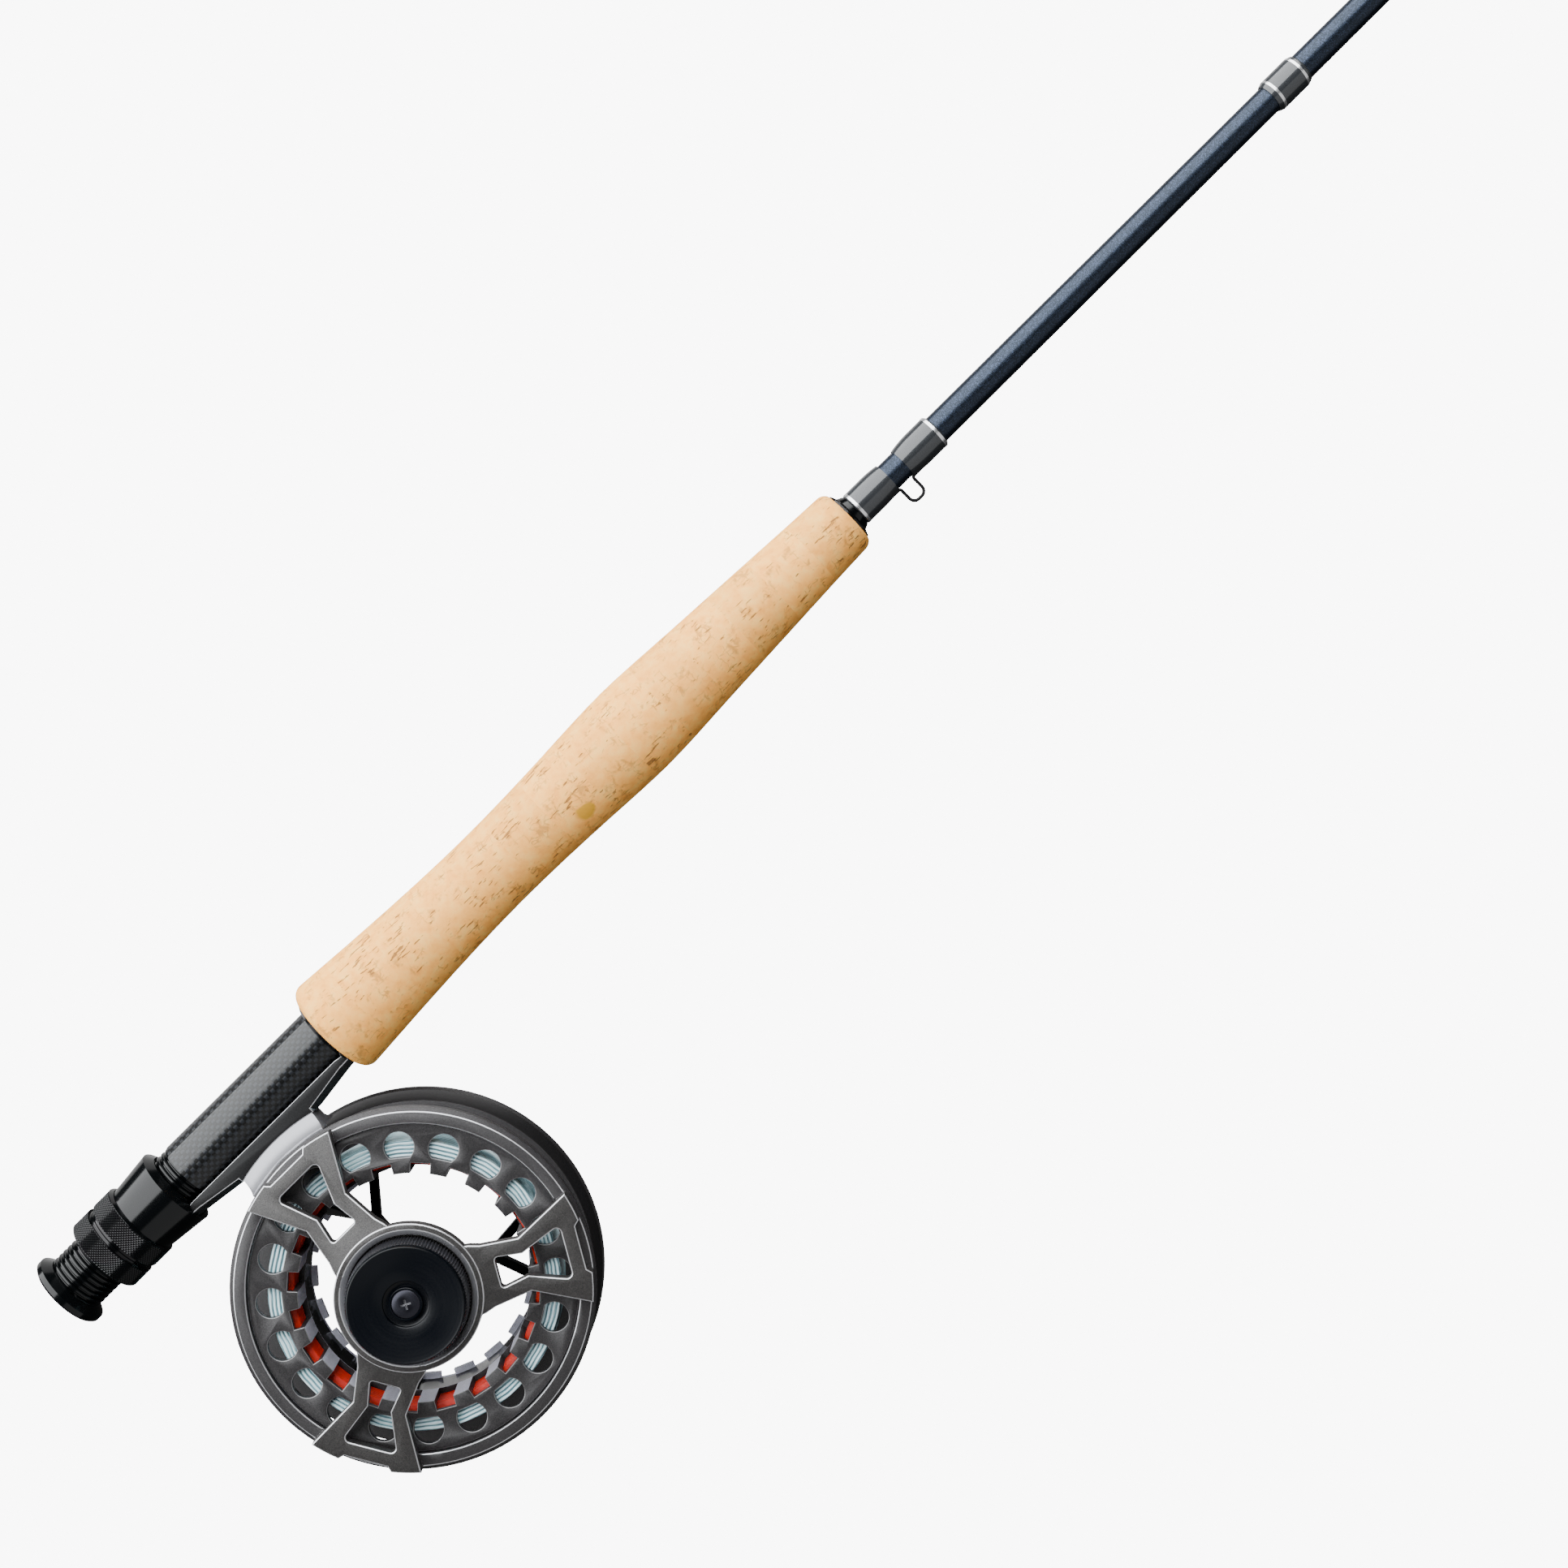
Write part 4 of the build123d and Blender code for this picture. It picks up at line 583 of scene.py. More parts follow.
@dataclass(frozen=True)
class Wound(Finish):
    """Line on the spool: strands side by side, with painted shade where they meet."""

    # colour of the painted shade where strands meet
    gap_shade: str = "#4b727c"
    strand: float = 1.0
    start: float = 31.1  # radius of the innermost strand
    side_y: float = -9.7  # the strands stand on end before this
    wander: float = 2.0

    def pattern(self, graph: Graph, here: Socket) -> None:
        """Paints shade into the gaps between strands, which wander a little round the spool."""
        y, _, radius = graph.about(Turning.AXLE, here)
        drift = graph.maths("MULTIPLY", graph.noise(here, 0.09), self.wander)
        outward = graph.maths("ADD", graph.maths("SUBTRACT", radius, self.start), drift)
        edge = graph.maths("ADD", y, -self.side_y)
        on_side = graph.maths("LESS_THAN", edge, 0.0)
        across = graph.add("Mix", {"Factor": on_side, 2: graph.maths("ADD", edge, drift), 3: outward})[0]
        part = graph.maths("FRACT", graph.maths("DIVIDE", across, self.strand))
        # painted shade: the colour darkens from each strand's crown to the gap where it meets the next
        rise = [(0.0, self.gap_shade), (0.16, "#8fb2bb"), (0.34, self.colour)]
        fall = [(0.62, self.colour), (0.80, "#9dbdc6"), (0.97, self.gap_shade)]
        graph.surface("Base Color", graph.ramp(part, *rise, *fall))
        graph.bump(graph.maths("SINE", graph.maths("MULTIPLY", part, math.pi)), 0.25)


@dataclass(frozen=True)
class Grained(Finish):
    """A plain surface with a fine grain, as moulded plastic, drawn wire or ceramic has."""

    grain: float = 0.5
    relief: float = 0.01

    def pattern(self, graph: Graph, here: Socket) -> None:
        """Varies the gloss and raises the grain."""
        grain = graph.noise(here, 1 / self.grain, 3.0)
        graph.surface("Roughness", graph.spread(grain, self.roughness * 0.75, self.roughness * 1.25))
        graph.bump(grain, self.relief)


def made(finish: Finish) -> Material:
    """A field of the palette that builds a finish's material."""
    return field(default_factory=finish.build)


@dataclass
class Palette:
    """Every finish of the rod and the reel, built once."""

    # aluminium, turned and black anodised: deep black with a soft gloss
    black: Material = made(TurnedMetal("black_anodised_turned", "#040506", 0.0, 0.15, gloss=0.3, relief=0.001))
    # aluminium, bead-blasted and grey anodised: an even speckled satin
    gunmetal: Material = made(BlastedMetal("grey_anodised_blasted", "#191818", 0.2, 0.5, light="#434140", gloss=0.35))
    # the same metal in a darker dye on the ring and the spool
    dark: Material = made(BlastedMetal("dark_anodised_blasted", "#171617", 0.2, 0.45, light="#3c3a3b", gloss=0.4))
    # the rim behind the line, darker than the spool: painted shade, as it sits in the shadow behind the line
    shaded_rim: Material = made(BlastedMetal("rim_painted_shade_blasted", "#0d0c0d", 0.2, 0.42, light="#242223", gloss=0.4))
    # the foot is dyed black and blasted finely
    foot: Material = made(
        BlastedMetal("black_anodised_blasted", "#0c0c0d", 0.15, 0.5, light="#1b1b1c", grain=0.2, gloss=0.3)
    )
    # bore of the hub, turned to a polish
    polished: Material = made(TurnedMetal("polished_aluminium", "#96969a", 0.7, 0.22, turning=Turning.AXLE))
    # edges of the frame, foot and pedestal in bright aluminium: a painted highlight along each broken edge
    edge_highlight: Material = made(Grained("painted_edge_highlight_aluminium", "#b6b6b9", 0.6, 0.34, relief=0.001))
    # the spool's broken edges in a lighter grey: a painted highlight along each edge
    soft_edge_highlight: Material = made(Grained("grey_anodised_painted_edge_highlight", "#6e6d6e", 0.5, 0.35, relief=0.001))
    # clear anodised aluminium with a satin face
    satin: Material = made(Grained("satin_aluminium", "#929296", 0.75, 0.42, grain=0.4, relief=0.006))
    # inside of the arbor, clear anodised: pale grey with a hint of violet
    pale: Material = made(BlastedMetal("pale_anodised_blasted", "#a0a0ae", 0.2, 0.5, light="#c8c8d6"))
    # black anodised and diamond turned: deep black, its fine rings fan the light out
    knob: Material = made(
        TurnedMetal("black_knob_turned", "#020408", 0.0, 0.24, turning=Turning.AXLE, pitch=0.5, relief=0.002, gloss=0.2)
    )
    # the knob's teeth, in a lighter grey than the knob: this paints the light their tips catch
    teeth: Material = made(Grained("black_teeth_painted_highlight", "#3a3a3e", 0.6, 0.35, relief=0.002))
    # blackened steel, for the knob's screw
    black_steel: Material = made(TurnedMetal("blackened_steel", "#26262d", 0.8, 0.3, turning=Turning.AXLE))
    # natural cork, glued in rings and sanded
    cork: Material = made(Cork("sanded_cork", "#fdb255", 0.0, 0.75, gloss=0.12))
    # carbon cloth under clear lacquer, its weave shown by painted sheen and shade
    carbon: Material = made(
        Carbon("lacquered_carbon_cloth_painted_sheen", "#1a1c20", 0.1, 0.35, coat=0.4, coat_roughness=0.03, gloss=0.3)
    )
    # carbon blank, ground and varnished in navy
    blank: Material = made(Blank("varnished_carbon_blank", "#1f252e", 0.9, 0.36, coat=0.12, coat_roughness=0.15))
    # grey winding thread under epoxy varnish
    thread: Material = made(
        Thread("varnished_grey_thread", "#2b2d30", 0.2, 0.3, gloss=0.3, coat=1.0, coat_roughness=0.02)
    )
    # metal foil thread under varnish
    tinsel: Material = made(Thread("silver_tinsel_thread", "#f2f2f4", 0.9, 0.22, coat=0.6, pitch=0.25))
    # hard chrome on drawn steel wire
    wire: Material = made(Grained("chromed_steel_wire", "#c8cacc", 1.0, 0.12, relief=0.0005))
    # black-coated steel wire
    black_wire: Material = made(Grained("black_coated_wire", "#050506", 0.0, 0.4, relief=0.0005, gloss=0.2))
    # ground steel, for the axle, screws and bearings
    steel: Material = made(TurnedMetal("ground_steel", "#a9aaad", 1.0, 0.25, turning=Turning.AXLE))
    # polished dark ceramic
    ceramic: Material = made(Grained("polished_ceramic", "#1c1d20", 0.0, 0.08, relief=0.0005))
    # soft-touch moulded plastic
    plastic: Material = made(Grained("moulded_black_plastic", "#0b0c0d", 0.0, 0.42, grain=0.3, relief=0.01))
    # brake lining, pressed fibre
    lining: Material = made(Grained("pressed_brake_lining", "#3a332c", 0.0, 0.8, grain=0.4, relief=0.05))
    # plastic-coated line, smooth and slightly waxy, with painted shade between its strands
    line: Material = made(Wound("coated_fly_line", "#d3e9ee", 0.0, 0.38))
    # braided polyester
    backing: Material = made(Grained("braided_red_backing", "#e02408", 0.0, 0.5, grain=0.35, relief=0.08))


# ---- sub-assemblies; lengths in millimetres, those of the reel from its middle and its axle
@dataclass
class Seat:
    """Reel seat: threaded barrel, two knurled lock rings, hoods and the woven insert."""

    palette: Palette
    thread_x: tuple[float, float] = (3.42, 42.38)  # where the thread starts and ends
    crest: float = 7.7
    root: float = 6.95
    pitch: float = 1.45
    knurl_pitch: float = 0.8
    knurl_depth: float = 0.24
    ring_r: float = 10.35

    def build(self) -> None:
        """Makes and dresses the seat."""
        self.barrel()
        cone = [(11.9, 7.75), (11.9, 7.95), (13.0, 10.0), (13.3, 10.3)]
        collar = [(18.35, 10.28), (18.42, 9.62), (18.6, 9.5), (19.05, 9.5), (19.18, 9.38), (19.18, 7.75)]
        self.knurled_ring("knurled_lock_ring_rear", cone, (13.45, 18.25), collar, Body.RING_REAR, "lock_ring_rear")
        collar = [(19.2, 7.75), (19.2, 9.38), (19.33, 9.5), (19.85, 9.5), (20.0, 9.62), (20.05, 10.2)]
        nose = [(25.45, 10.25), (25.98, 9.4), (25.98, 7.75)]
        self.knurled_ring("knurled_lock_ring_front", collar, (20.2, 25.3), nose, Body.RING_FRONT, "lock_ring_front")
        dress(self.palette.black, "butt_cap", "sliding_hood", "fixed_hood")
        dress(self.palette.carbon, "seat_insert")
        dress(self.palette.cork, "seat_arbor")

    def barrel(self) -> None:
        """Cuts the thread: one tooth swept round and along the barrel, then squared off."""
        p = self.pitch
        tooth = [(0.0, self.root), (0.16, self.root), (0.5, self.crest - 0.1), (0.62, self.crest), (1.0, self.crest)]
        tooth += [(1.12, self.crest - 0.1), (p, self.root)]
        piece = draw("threaded_barrel", [at(Turning.ROD, self.thread_x[0] - p + x, r) for x, r in tooth])
        bpy.ops.object.mode_set(mode="OBJECT")
        turns = math.ceil((self.thread_x[1] - self.thread_x[0]) / p) + 2
        settings = {"axis": "X", "angle": math.tau, "screw_offset": p * MM, "iterations": turns}
        settings |= {"steps": 56, "render_steps": 56, "use_merge_vertices": True, "merge_threshold": SAME_PLACE}
        apply_modifier(piece, "SCREW", **settings)
        for x, side in zip(self.thread_x, (-1, 1)):
            with editing(piece):
                bpy.ops.mesh.remove_doubles(threshold=SAME_PLACE)
                cut = {"plane_co": (x * MM, 0, 0), "plane_no": (side, 0, 0)}
                bpy.ops.mesh.bisect(use_fill=True, clear_outer=True, clear_inner=False, **cut)
                bpy.ops.mesh.select_all(action="SELECT")
                bpy.ops.mesh.normals_make_consistent(inside=False)
        finish(piece, self.palette.black)
        smooth(piece, 40)
        place(piece, Body.BUTT, ["seat_barrel"])

    def knurled_ring(self, name: str, back: list[Point], band: Point, nose: list[Point], body: Body, node: str) -> None:
        """Turns a ring and presses a diamond knurl into its band.

        Args:
            name: name of the new piece.
            back: profile behind the band, from the bore out.
            band: where the knurl starts and ends along the rod.
            nose: profile in front of the band, from the band to the bore.
            body: body that the ring turns with.
            node: CAD node that it stands for.
        """
        rows = 2 * round((band[1] - band[0]) / self.knurl_pitch)
        step = (band[1] - band[0]) / rows
        side = [(band[0] + i * step, self.ring_r) for i in range(rows + 1)]
        steps = 2 * round(math.tau * self.ring_r / self.knurl_pitch)
        piece = lathe(name, back + side + nose, Turning.ROD, steps)

        def is_low(vertex: bpy.types.MeshVertex) -> bool:
            """Whether a vertex of the band lies in a groove of the knurl."""
            co = vertex.co
            row = (co.x / MM - band[0]) / step
            if not -0.1 < row < rows + 0.1 or math.hypot(co.y, co.z) < (self.ring_r - 0.01) * MM:
                return False
            column = math.atan2(co.y, co.z) / math.tau * steps
            return (round(row) + round(column)) % 2 == 1

        scale = 1 - self.knurl_depth / self.ring_r
        with editing_some(piece, "VERT", is_low):
            bpy.ops.transform.resize(value=(1, scale, scale), center_override=(0, 0, 0))
            bpy.ops.mesh.select_all(action="SELECT")
            bpy.ops.mesh.quads_convert_to_tris(quad_method="SHORTEST_DIAGONAL")
        finish(piece, self.palette.black)
        smooth(piece, 22)
        place(piece, body, [node])


@dataclass(frozen=True)
class Winding:
    """The shape of a varnished winding."""

    node: str
    start: float
    end: float
    low: float  # radius at its ends
    high: float  # radius at its crown
    rise: float  # share of its length over which it rises
    fall: float
    bands: tuple[float, ...]  # where its bands of silver thread start

    def radius(self, x: float) -> float:
        """Radius at a place along the rod."""
        part = (x - self.start) / (self.end - self.start)
        level = min(1.0, part / self.rise, (1 - part) / self.fall)
        return self.low + (self.high - self.low) * math.sin(max(level, 0.0) * math.pi / 2) ** 0.8

    def profile(self) -> list[Point]:
        """Outline from its bore over its crown."""
        bore, span = self.low - 0.35, self.end - self.start
        crown = [(x, self.radius(x)) for x in (self.start + span * i / 48 for i in range(49))]
        return [(self.start, bore), *crown, (self.end, bore)]


@dataclass
class Rod:
    """Grip, blank, wraps and line guides."""

    palette: Palette
    windings: Sequence[Winding] = (
        Winding("check_wrap", 269.3, 280.4, 4.1, 4.5, 0.06, 0.45, (269.75,)),
        Winding("keeper_wrap", 285.4, 297.0, 3.95, 4.52, 0.5, 0.06, (295.8,)),
        Winding("trim_wrap", 410.8, 421.4, 3.82, 4.3, 0.2, 0.2, (411.9, 419.6)),
    )
    band_width: float = 0.75
    coating: float = 0.16  # of the keeper

    def build(self) -> None:
        """Dresses the rod and winds its silver bands."""
        palette = self.palette
        bands = [(x, winding) for winding in self.windings for x in winding.bands]
        for number, (x0, winding) in enumerate(bands, start=1):
            x1 = x0 + self.band_width
            r = winding.radius((x0 + x1) / 2) + 0.05
            profile = [(x0, r - 0.3), (x0, r - 0.03), (x0 + 0.15, r), (x1 - 0.15, r), (x1, r - 0.03), (x1, r - 0.3)]
            piece = lathe(f"silver_band_{number}", profile, Turning.ROD, 64)
            finish(piece, palette.tinsel)
            smooth(piece, 50)
            place(piece, Body.BUTT)
        dress(palette.cork, "cork_grip")
        dress(palette.black, "winding_check")
        self.keeper()
        for winding in self.windings:
            piece = lathe(f"varnished_{winding.node}", winding.profile(), Turning.ROD, 72)
            finish(piece, palette.thread)
            smooth(piece, 50)
            place(piece, Body.BUTT, [winding.node])
        dress(palette.thread, "butt_guide_wraps", "section_2_wraps", "section_3_wraps", "tip_wraps")
        dress(palette.blank, "blank_butt", "blank_section_2", "blank_section_3", "blank_tip")
        dress(palette.blank, "spigot_1", "spigot_2", "spigot_3")
        snakes = ["snake_guides_2", "snake_guides_3", "snake_guides_tip_a", "snake_guides_tip_b"]
        dress(palette.wire, "stripping_guide_1", "stripping_guide_2", "tip_top", *snakes)
        dress(palette.ceramic, "stripping_ring_1", "stripping_ring_2")

    def keeper(self) -> None:
        """Thickens the keeper's wire by its black coating."""
        piece = merged_copy("hook_keeper", "coated_hook_keeper")
        finish(piece, self.palette.black_wire)
        with editing(piece):
            bpy.ops.transform.shrink_fatten(value=self.coating * MM)
        smooth(piece, 50)
        place(piece, Body.BUTT, ["hook_keeper"])


@dataclass
class ReelFrame:
    """Half frame, pedestal and foot."""

    palette: Palette
    edge: float = 0.26
    ring_inner: float = 39.3
    arm_y: float = -13.4  # front of the ring, behind the arms
    hub_bore: float = 14.9
    hub_y: float = -19.7  # front of the hub

    def build(self) -> None:
        """Breaks the edges of the frame and the foot, and dresses the rest."""
        palette = self.palette
        # the second finish, on the broken edges, paints their highlight
        metals = [palette.gunmetal, palette.edge_highlight, palette.dark, palette.polished]

        def is_front(face: Face) -> bool:
            """Whether a face looks to the front and isn't the hub's inner step."""
            away = (face.center - REEL) / MM
            off_hub = away.y < self.hub_y - 0.5 or math.hypot(away.x, away.z) > self.hub_bore + 1.0
            return face.normal.y < -0.8 and off_hub

        piece = bevelled_copy("reel_frame", "half_frame", 0.25, metals, Chamfer(self.edge, 0.2, is_front))
        for face in piece.data.polygons:
            near, far, first, _ = reach(piece, face)
            if far < self.hub_bore + 1.6 and first < self.hub_y and 0.2 < abs(face.normal.y) < 0.97:
                face.material_index = Slot.FRAME_HUB
            elif face.material_index == Slot.FACES and near > self.ring_inner and first > self.arm_y:
                face.material_index = Slot.FRAME_RING
        place(piece, Body.BUTT, ["reel_frame"])
        # the broken edges of the foot and the pedestal take the painted edge highlight
        piece = bevelled_copy("reel_foot", "machined_foot", 0.18, [palette.foot, palette.edge_highlight])
        place(piece, Body.BUTT, ["reel_foot"])
        piece = bevelled_copy("reel_pedestal", "satin_pedestal", 0.15, [palette.satin, palette.edge_highlight])
        place(piece, Body.BUTT, ["reel_pedestal"])
        dress(palette.steel, "foot_screws", "axle", "drag_springs")
        dress(palette.black, "drag_case")
        dress(palette.lining, "drag_discs")


@dataclass
class DragKnob:
    """Cup-shaped drag knob with a toothed side, and its cross-recessed screw."""

    palette: Palette
    teeth: int = 118
    tooth_depth: float = 0.42
    rim: float = 14.5
    face_y: float = -28.8  # front of the rim
    skirt_y: float = -19.9  # back of the skirt
    dish_y: float = -27.7  # bottom of the dished face
    screw_r: float = 3.4

    def build(self) -> None:
        """Makes the knob and the screw."""
        r = self.rim
        rim = [(self.skirt_y, r - 0.15), (self.skirt_y - 0.3, r), (-24.0, r), (-27.6, r - 0.2), (-27.7, r - 0.45)]
        rim += [(-28.3, r - 0.5), (-28.72, r - 0.75), (self.face_y, r - 1.0), (self.face_y + 0.08, r - 1.3)]
        face = [(-28.2, 8.5), (self.dish_y - 0.12, 6.1), (self.dish_y, 5.6), (self.dish_y + 0.15, 5.45)]
        well = [(-26.6, 5.4), (-26.5, 5.2), (-26.5, 4.0), (-26.6, 3.9), (self.dish_y + 0.1, 3.9)]
        well += [(self.dish_y, 3.8), (self.dish_y, 3.5), (-27.6, 3.43), (-26.3, 3.43), (-26.3, 3.05)]
        inside = [(-25.3, 3.05), (-25.3, 12.1), (self.skirt_y, 12.1)]
        piece = lathe("toothed_drag_knob", rim + face + well + inside, Turning.AXLE, 2 * self.teeth)

        def is_groove(vertex: bpy.types.MeshVertex) -> bool:
            """Whether a vertex of the side lies between two teeth."""
            away = (vertex.co - REEL) / MM
            if math.hypot(away.x, away.z) < r - 0.25:
                return False
            return round(math.atan2(away.z, away.x) / math.tau * 2 * self.teeth) % 2 == 1

        scale = 1 - self.tooth_depth / r
        with editing_some(piece, "VERT", is_groove):
            bpy.ops.transform.resize(value=(scale, 1, scale), center_override=REEL)
        finish(piece, self.palette.knob, self.palette.teeth)
        # the teeth take the lighter finish, which paints the light catching them
        for face in piece.data.polygons:
            near, far, _, last = reach(piece, face)
            if near > r - 0.8 and far > r - 0.35 and last < self.skirt_y + 0.1:
                face.material_index = Slot.KNOB_TEETH
        smooth(piece, 28)
        place(piece, Body.KNOB, ["drag_knob"])
        self.screw()

    def screw(self) -> None:
        """Turns the screw and cuts its cross recess."""
        r = self.screw_r
        top = self.dish_y - 0.1
        head = [(top, 0.0), (top + 0.02, 1.6), (top + 0.12, r - 0.35), (top + 0.35, r), (-26.32, r)]
        piece = lathe("cross_recess_screw", head + [(-26.32, 1.4), (-19.5, 1.4), (-19.5, 0.0)], Turning.AXLE, 64)
        for turned in (0.0, math.pi / 2):
            deselect()
            centre = REEL + Vector((0, top, 0)) * MM
            bpy.ops.mesh.primitive_cube_add(size=1.0, location=centre, rotation=(0, turned + 0.5, 0))
            blade = bpy.context.object
            blade.scale = (2.5 * MM, 1.7 * MM, 0.5 * MM)
            bpy.ops.object.transform_apply(location=True, rotation=True, scale=True)
            apply_modifier(piece, "BOOLEAN", object=blade, operation="DIFFERENCE", solver="EXACT")
            bpy.data.objects.remove(blade, do_unlink=True)
        finish(piece, self.palette.black_steel, self.palette.satin)
        for face in piece.data.polygons:
            _, far, _, last = reach(piece, face)
            if far < 2.0 and top + 0.3 < last < -25.0:
                face.material_index = Slot.SCREW_RECESS
        smooth(piece, 30)
        place(piece, Body.BUTT, ["knob_screw"])


@dataclass
class SpoolAssembly:
    """Spool with its edges broken, the wound line and the parts that turn with it."""

    palette: Palette
    edge: float = 0.28
    chamfer: float = 0.15
    arbor_r: float = 29.0
    wall: float = 1.4
    backing_r: float = 31.12
    line_r: float = 35.6
    rim_r: float = 39.0
    flange_y: float = -11.7  # front of the flange
    front_y: float = -10.08  # where the line starts and ends
    back_y: float = 5.28
    slot_end: float = -0.8  # back end of the arbor's slots
    tab_y: float = 8.3  # front of the tabs at the back
    strand: float = 1.0
    backing_turn: float = 0.9

    def build(self) -> None:
        """Makes the spool and winds the line."""
        palette = self.palette
        # the second finish, on the spool's broken edges, paints their highlight
        metals = [palette.dark, palette.soft_edge_highlight, palette.pale, palette.black, palette.shaded_rim]

        def is_front(face: Face) -> bool:
            """Whether a face is part of the flange's front."""
            return face.normal.y < -0.99 and (face.center.y - REEL.y) / MM < self.flange_y + 0.2

        chamfer = Chamfer(self.chamfer, 0.1, is_front)
        piece = bevelled_copy("spool", "machined_spool", self.edge, metals, chamfer)
        for y in (self.slot_end, self.tab_y):
            with editing(piece):
                bpy.ops.mesh.bisect(plane_co=REEL + Vector((0, y, 0)) * MM, plane_no=(0, 1, 0))
        for face in piece.data.polygons:
            if face.material_index == Slot.FACES:
                face.material_index = self.zone(piece, face)
        place(piece, Body.SPOOL, ["spool"])
        self.wind()
        self.wind_backing()
        dress(palette.steel, "spool_bearings", "clutch_bearing", "handle_pin")
        dress(palette.black, "spool_cap")
        dress(palette.satin, "counterweight")
        dress(palette.plastic, "handle_knob")

    def zone(self, piece: Piece, face: Face) -> Slot:
        """Which finish a face of the spool has, by its place."""
        near, far, first, last = reach(piece, face)
        inner = self.arbor_r - self.wall
        if near > inner - 2.2 and far < inner + 0.9 and first > self.tab_y - 0.2:
            return Slot.SPOOL_BORE
        if near > inner - 0.6 and far < inner + 0.6 and last - first > 0.1:
            return Slot.SPOOL_BORE if last < self.slot_end + 0.2 else Slot.SPOOL_BACK
        if far < self.arbor_r + 0.2 and first > 2.0:
            return Slot.SPOOL_BACK
        # the rim behind the line takes the darker rim finish, which paints the shade it sits in
        return Slot.SPOOL_RIM if near > self.rim_r and first > 0.0 else Slot.FACES

    def wind_backing(self) -> None:
        """Winds the backing, one ridge a turn, its front end well behind the flange."""
        inside, outside = self.arbor_r + 0.02, self.backing_r - 0.04
        first, last = self.front_y + 2.5, self.back_y - 0.08
        turns = round((last - first) / self.backing_turn)
        step = (last - first) / turns
        ridge = ((0.0, 0.2), (0.3, 0.0), (0.7, 0.0))
        profile = [(first + (i + part) * step, inside + drop) for i in range(turns) for part, drop in ridge]
        profile += [(last, inside + 0.2), (last, outside), (first, outside)]
        piece = lathe("wound_backing", profile, Turning.AXLE, 160)
        finish(piece, self.palette.backing)
        smooth(piece, 60)
        place(piece, Body.SPOOL, ["backing"])

    def wind(self) -> None:
        """Lays the line on the spool as strands side by side."""
        bulge = 0.22
        profile: list[Point] = []
        count = round((self.line_r - 0.6 - self.backing_r) / self.strand)
        for i in range(count):
            r = self.backing_r + i * self.strand
            for part, drop in ((0.0, bulge), (0.25, 0.05), (0.5, 0.0), (0.75, 0.05)):
                profile.append((self.front_y + drop, r + part))
        middle = (self.front_y + self.back_y) / 2
        half = (self.back_y - self.front_y) / 2
        turns = round(2 * half / self.strand)
        for i in range(turns):
            for part, drop in ((0.0, 0.35), (0.25, 0.08), (0.5, 0.0), (0.75, 0.08)):
                y = self.front_y + (i + part) * 2 * half / turns
                crown = 0.6 * ((y - middle) / half) ** 2
                profile.append((min(max(y, self.front_y + bulge), self.back_y), self.line_r - crown - drop))
        profile += [(self.back_y, self.line_r - 1.0), (self.back_y, self.backing_r)]
        piece = lathe("wound_fly_line", profile, Turning.AXLE, 160)
        finish(piece, self.palette.line)
        smooth(piece, 60)
        place(piece, Body.SPOOL, ["fly_line"])


# ---- studio
@dataclass
class Softbox:
    """One long rectangular light that points at the reel seat."""

    name: str
    angle: float  # degrees above the line from the seat towards -Y
    distance: float
    size: tuple[float, float]  # along the rod and across
    radiance: float
    tint: tuple[float, float, float] = (1.0, 1.0, 1.0)

    def build(self) -> None:
        """Hangs the light."""
        light = bpy.data.lights.new(self.name, "AREA")
        light.color = self.tint
        light.shape = "RECTANGLE"
        light.size, light.size_y = self.size
        light.energy = self.radiance * math.pi * self.size[0] * self.size[1]
        lamp = bpy.data.objects.new(self.name, light)
        bpy.context.scene.collection.objects.link(lamp)
        turn = math.radians(self.angle)
        back = Vector((0, -math.cos(turn), math.sin(turn)))
        side = Vector((1, 0, 0))
        lamp.matrix_world = Matrix((side, back.cross(side), back)).transposed().to_4x4()
        lamp.location = Vector((0.2, 0, -0.02)) + back * self.distance
        lamp.visible_camera = False


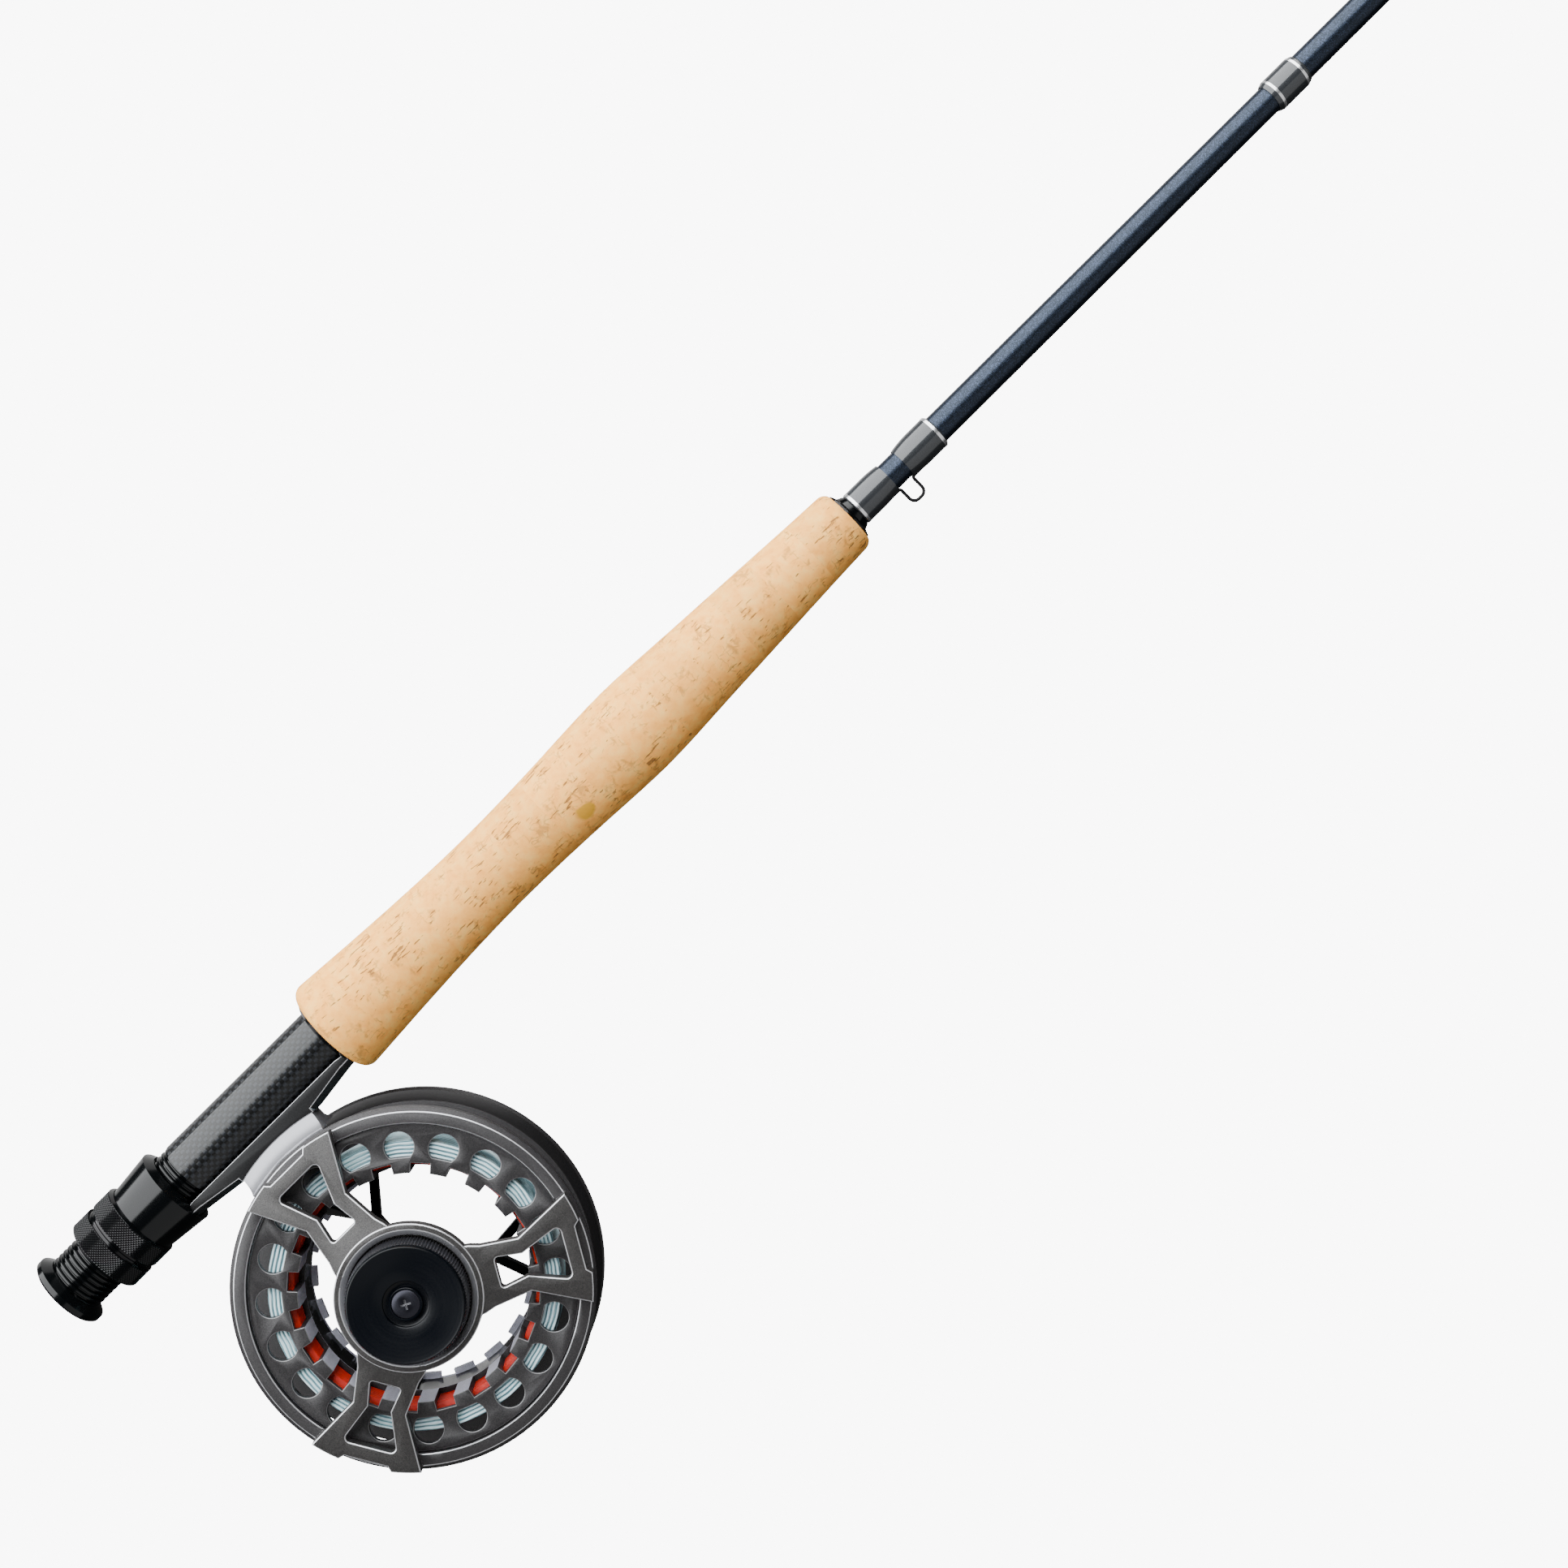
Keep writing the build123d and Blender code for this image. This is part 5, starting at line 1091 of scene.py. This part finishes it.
@dataclass
class Studio:
    """White panel and pale floor, soft light and the camera."""

    focal_px: float = 2998.0
    frame_px: float = 1932.0

    def build(self) -> None:
        """Sets up the studio."""
        for softbox in (
            Softbox("upper_softbox", 58.0, 1.1, (3.6, 2.0), 7.0, (0.96, 0.985, 1.0)),
            Softbox("lower_softbox", -50.0, 1.0, (3.6, 1.2), 0.7),
            Softbox("rear_softbox", 150.0, 1.6, (3.0, 1.2), 1.0),
        ):
            softbox.build()
        self.stage_plane("floor", (0.6, 0.0, -0.9), (0, 0, 0), 12.0, emission=0.0)
        self.stage_plane("panel", (0.3, 0.25, 0.0), (math.pi / 2, 0, 0), 6.0, emission=9.0)
        world = bpy.context.scene.world or bpy.data.worlds.new("world")
        bpy.context.scene.world = world
        world.use_nodes = True
        background = world.node_tree.nodes["Background"].inputs
        background["Color"].default_value = linear("#ffffff")
        background["Strength"].default_value = 0.03
        self.camera()

    def stage_plane(self, name: str, location: tuple, rotation: tuple, size: float, emission: float) -> None:
        """Adds the floor, or a panel that glows to the front; neither lights the object."""
        deselect()
        bpy.ops.mesh.primitive_plane_add(size=size, location=location, rotation=rotation)
        plane = bpy.context.object
        plane.name = name
        graph = Graph(name + "_paper")
        graph.surface("Base Color", linear("#f2f2f0"))
        graph.surface("Roughness", 0.9)
        if emission:
            glow = graph.add("Emission", {"Color": linear("#ffffff"), "Strength": emission})[0]
            clear = graph.add("BsdfTransparent")[0]
            behind = graph.add("NewGeometry")["Backfacing"]
            mixed = graph.add("MixShader", {0: behind, 1: glow, 2: clear})[0]
            graph.feed(graph.tree.nodes["Material Output"].inputs["Surface"], mixed)
        plane.visible_diffuse = plane.visible_glossy = plane.visible_transmission = plane.visible_shadow = False
        finish(plane, graph.material)

    def camera(self) -> None:
        """Looks square across the rod, which rises to the right."""
        data = bpy.data.cameras.new("camera")
        data.sensor_width = 36.0
        data.lens = 36.0 * self.focal_px / self.frame_px
        data.clip_start = 0.01
        camera = bpy.data.objects.new("camera", data)
        bpy.context.scene.collection.objects.link(camera)
        upright = Matrix(((0.7098, 0, -0.7044), (0.7044, 0, 0.7098), (0, -1, 0))).transposed()
        camera.matrix_world = (Matrix.Rotation(-0.0468, 3, "X") @ upright).to_4x4()
        camera.location = Vector((210.4, -590.9, -7.3)) * MM
        bpy.context.scene.camera = camera


def main() -> None:
    """Builds the studio and every sub-assembly, and logs each as it is done."""
    logging.basicConfig(level=logging.INFO, format="%(message)s")
    Studio().build()
    palette = Palette()
    for assembly in (Seat(palette), Rod(palette), ReelFrame(palette), DragKnob(palette), SpoolAssembly(palette)):
        assembly.build()
        LOG.info("%s is done", type(assembly).__name__)
    deselect()


if __name__ == "__main__":
    main()
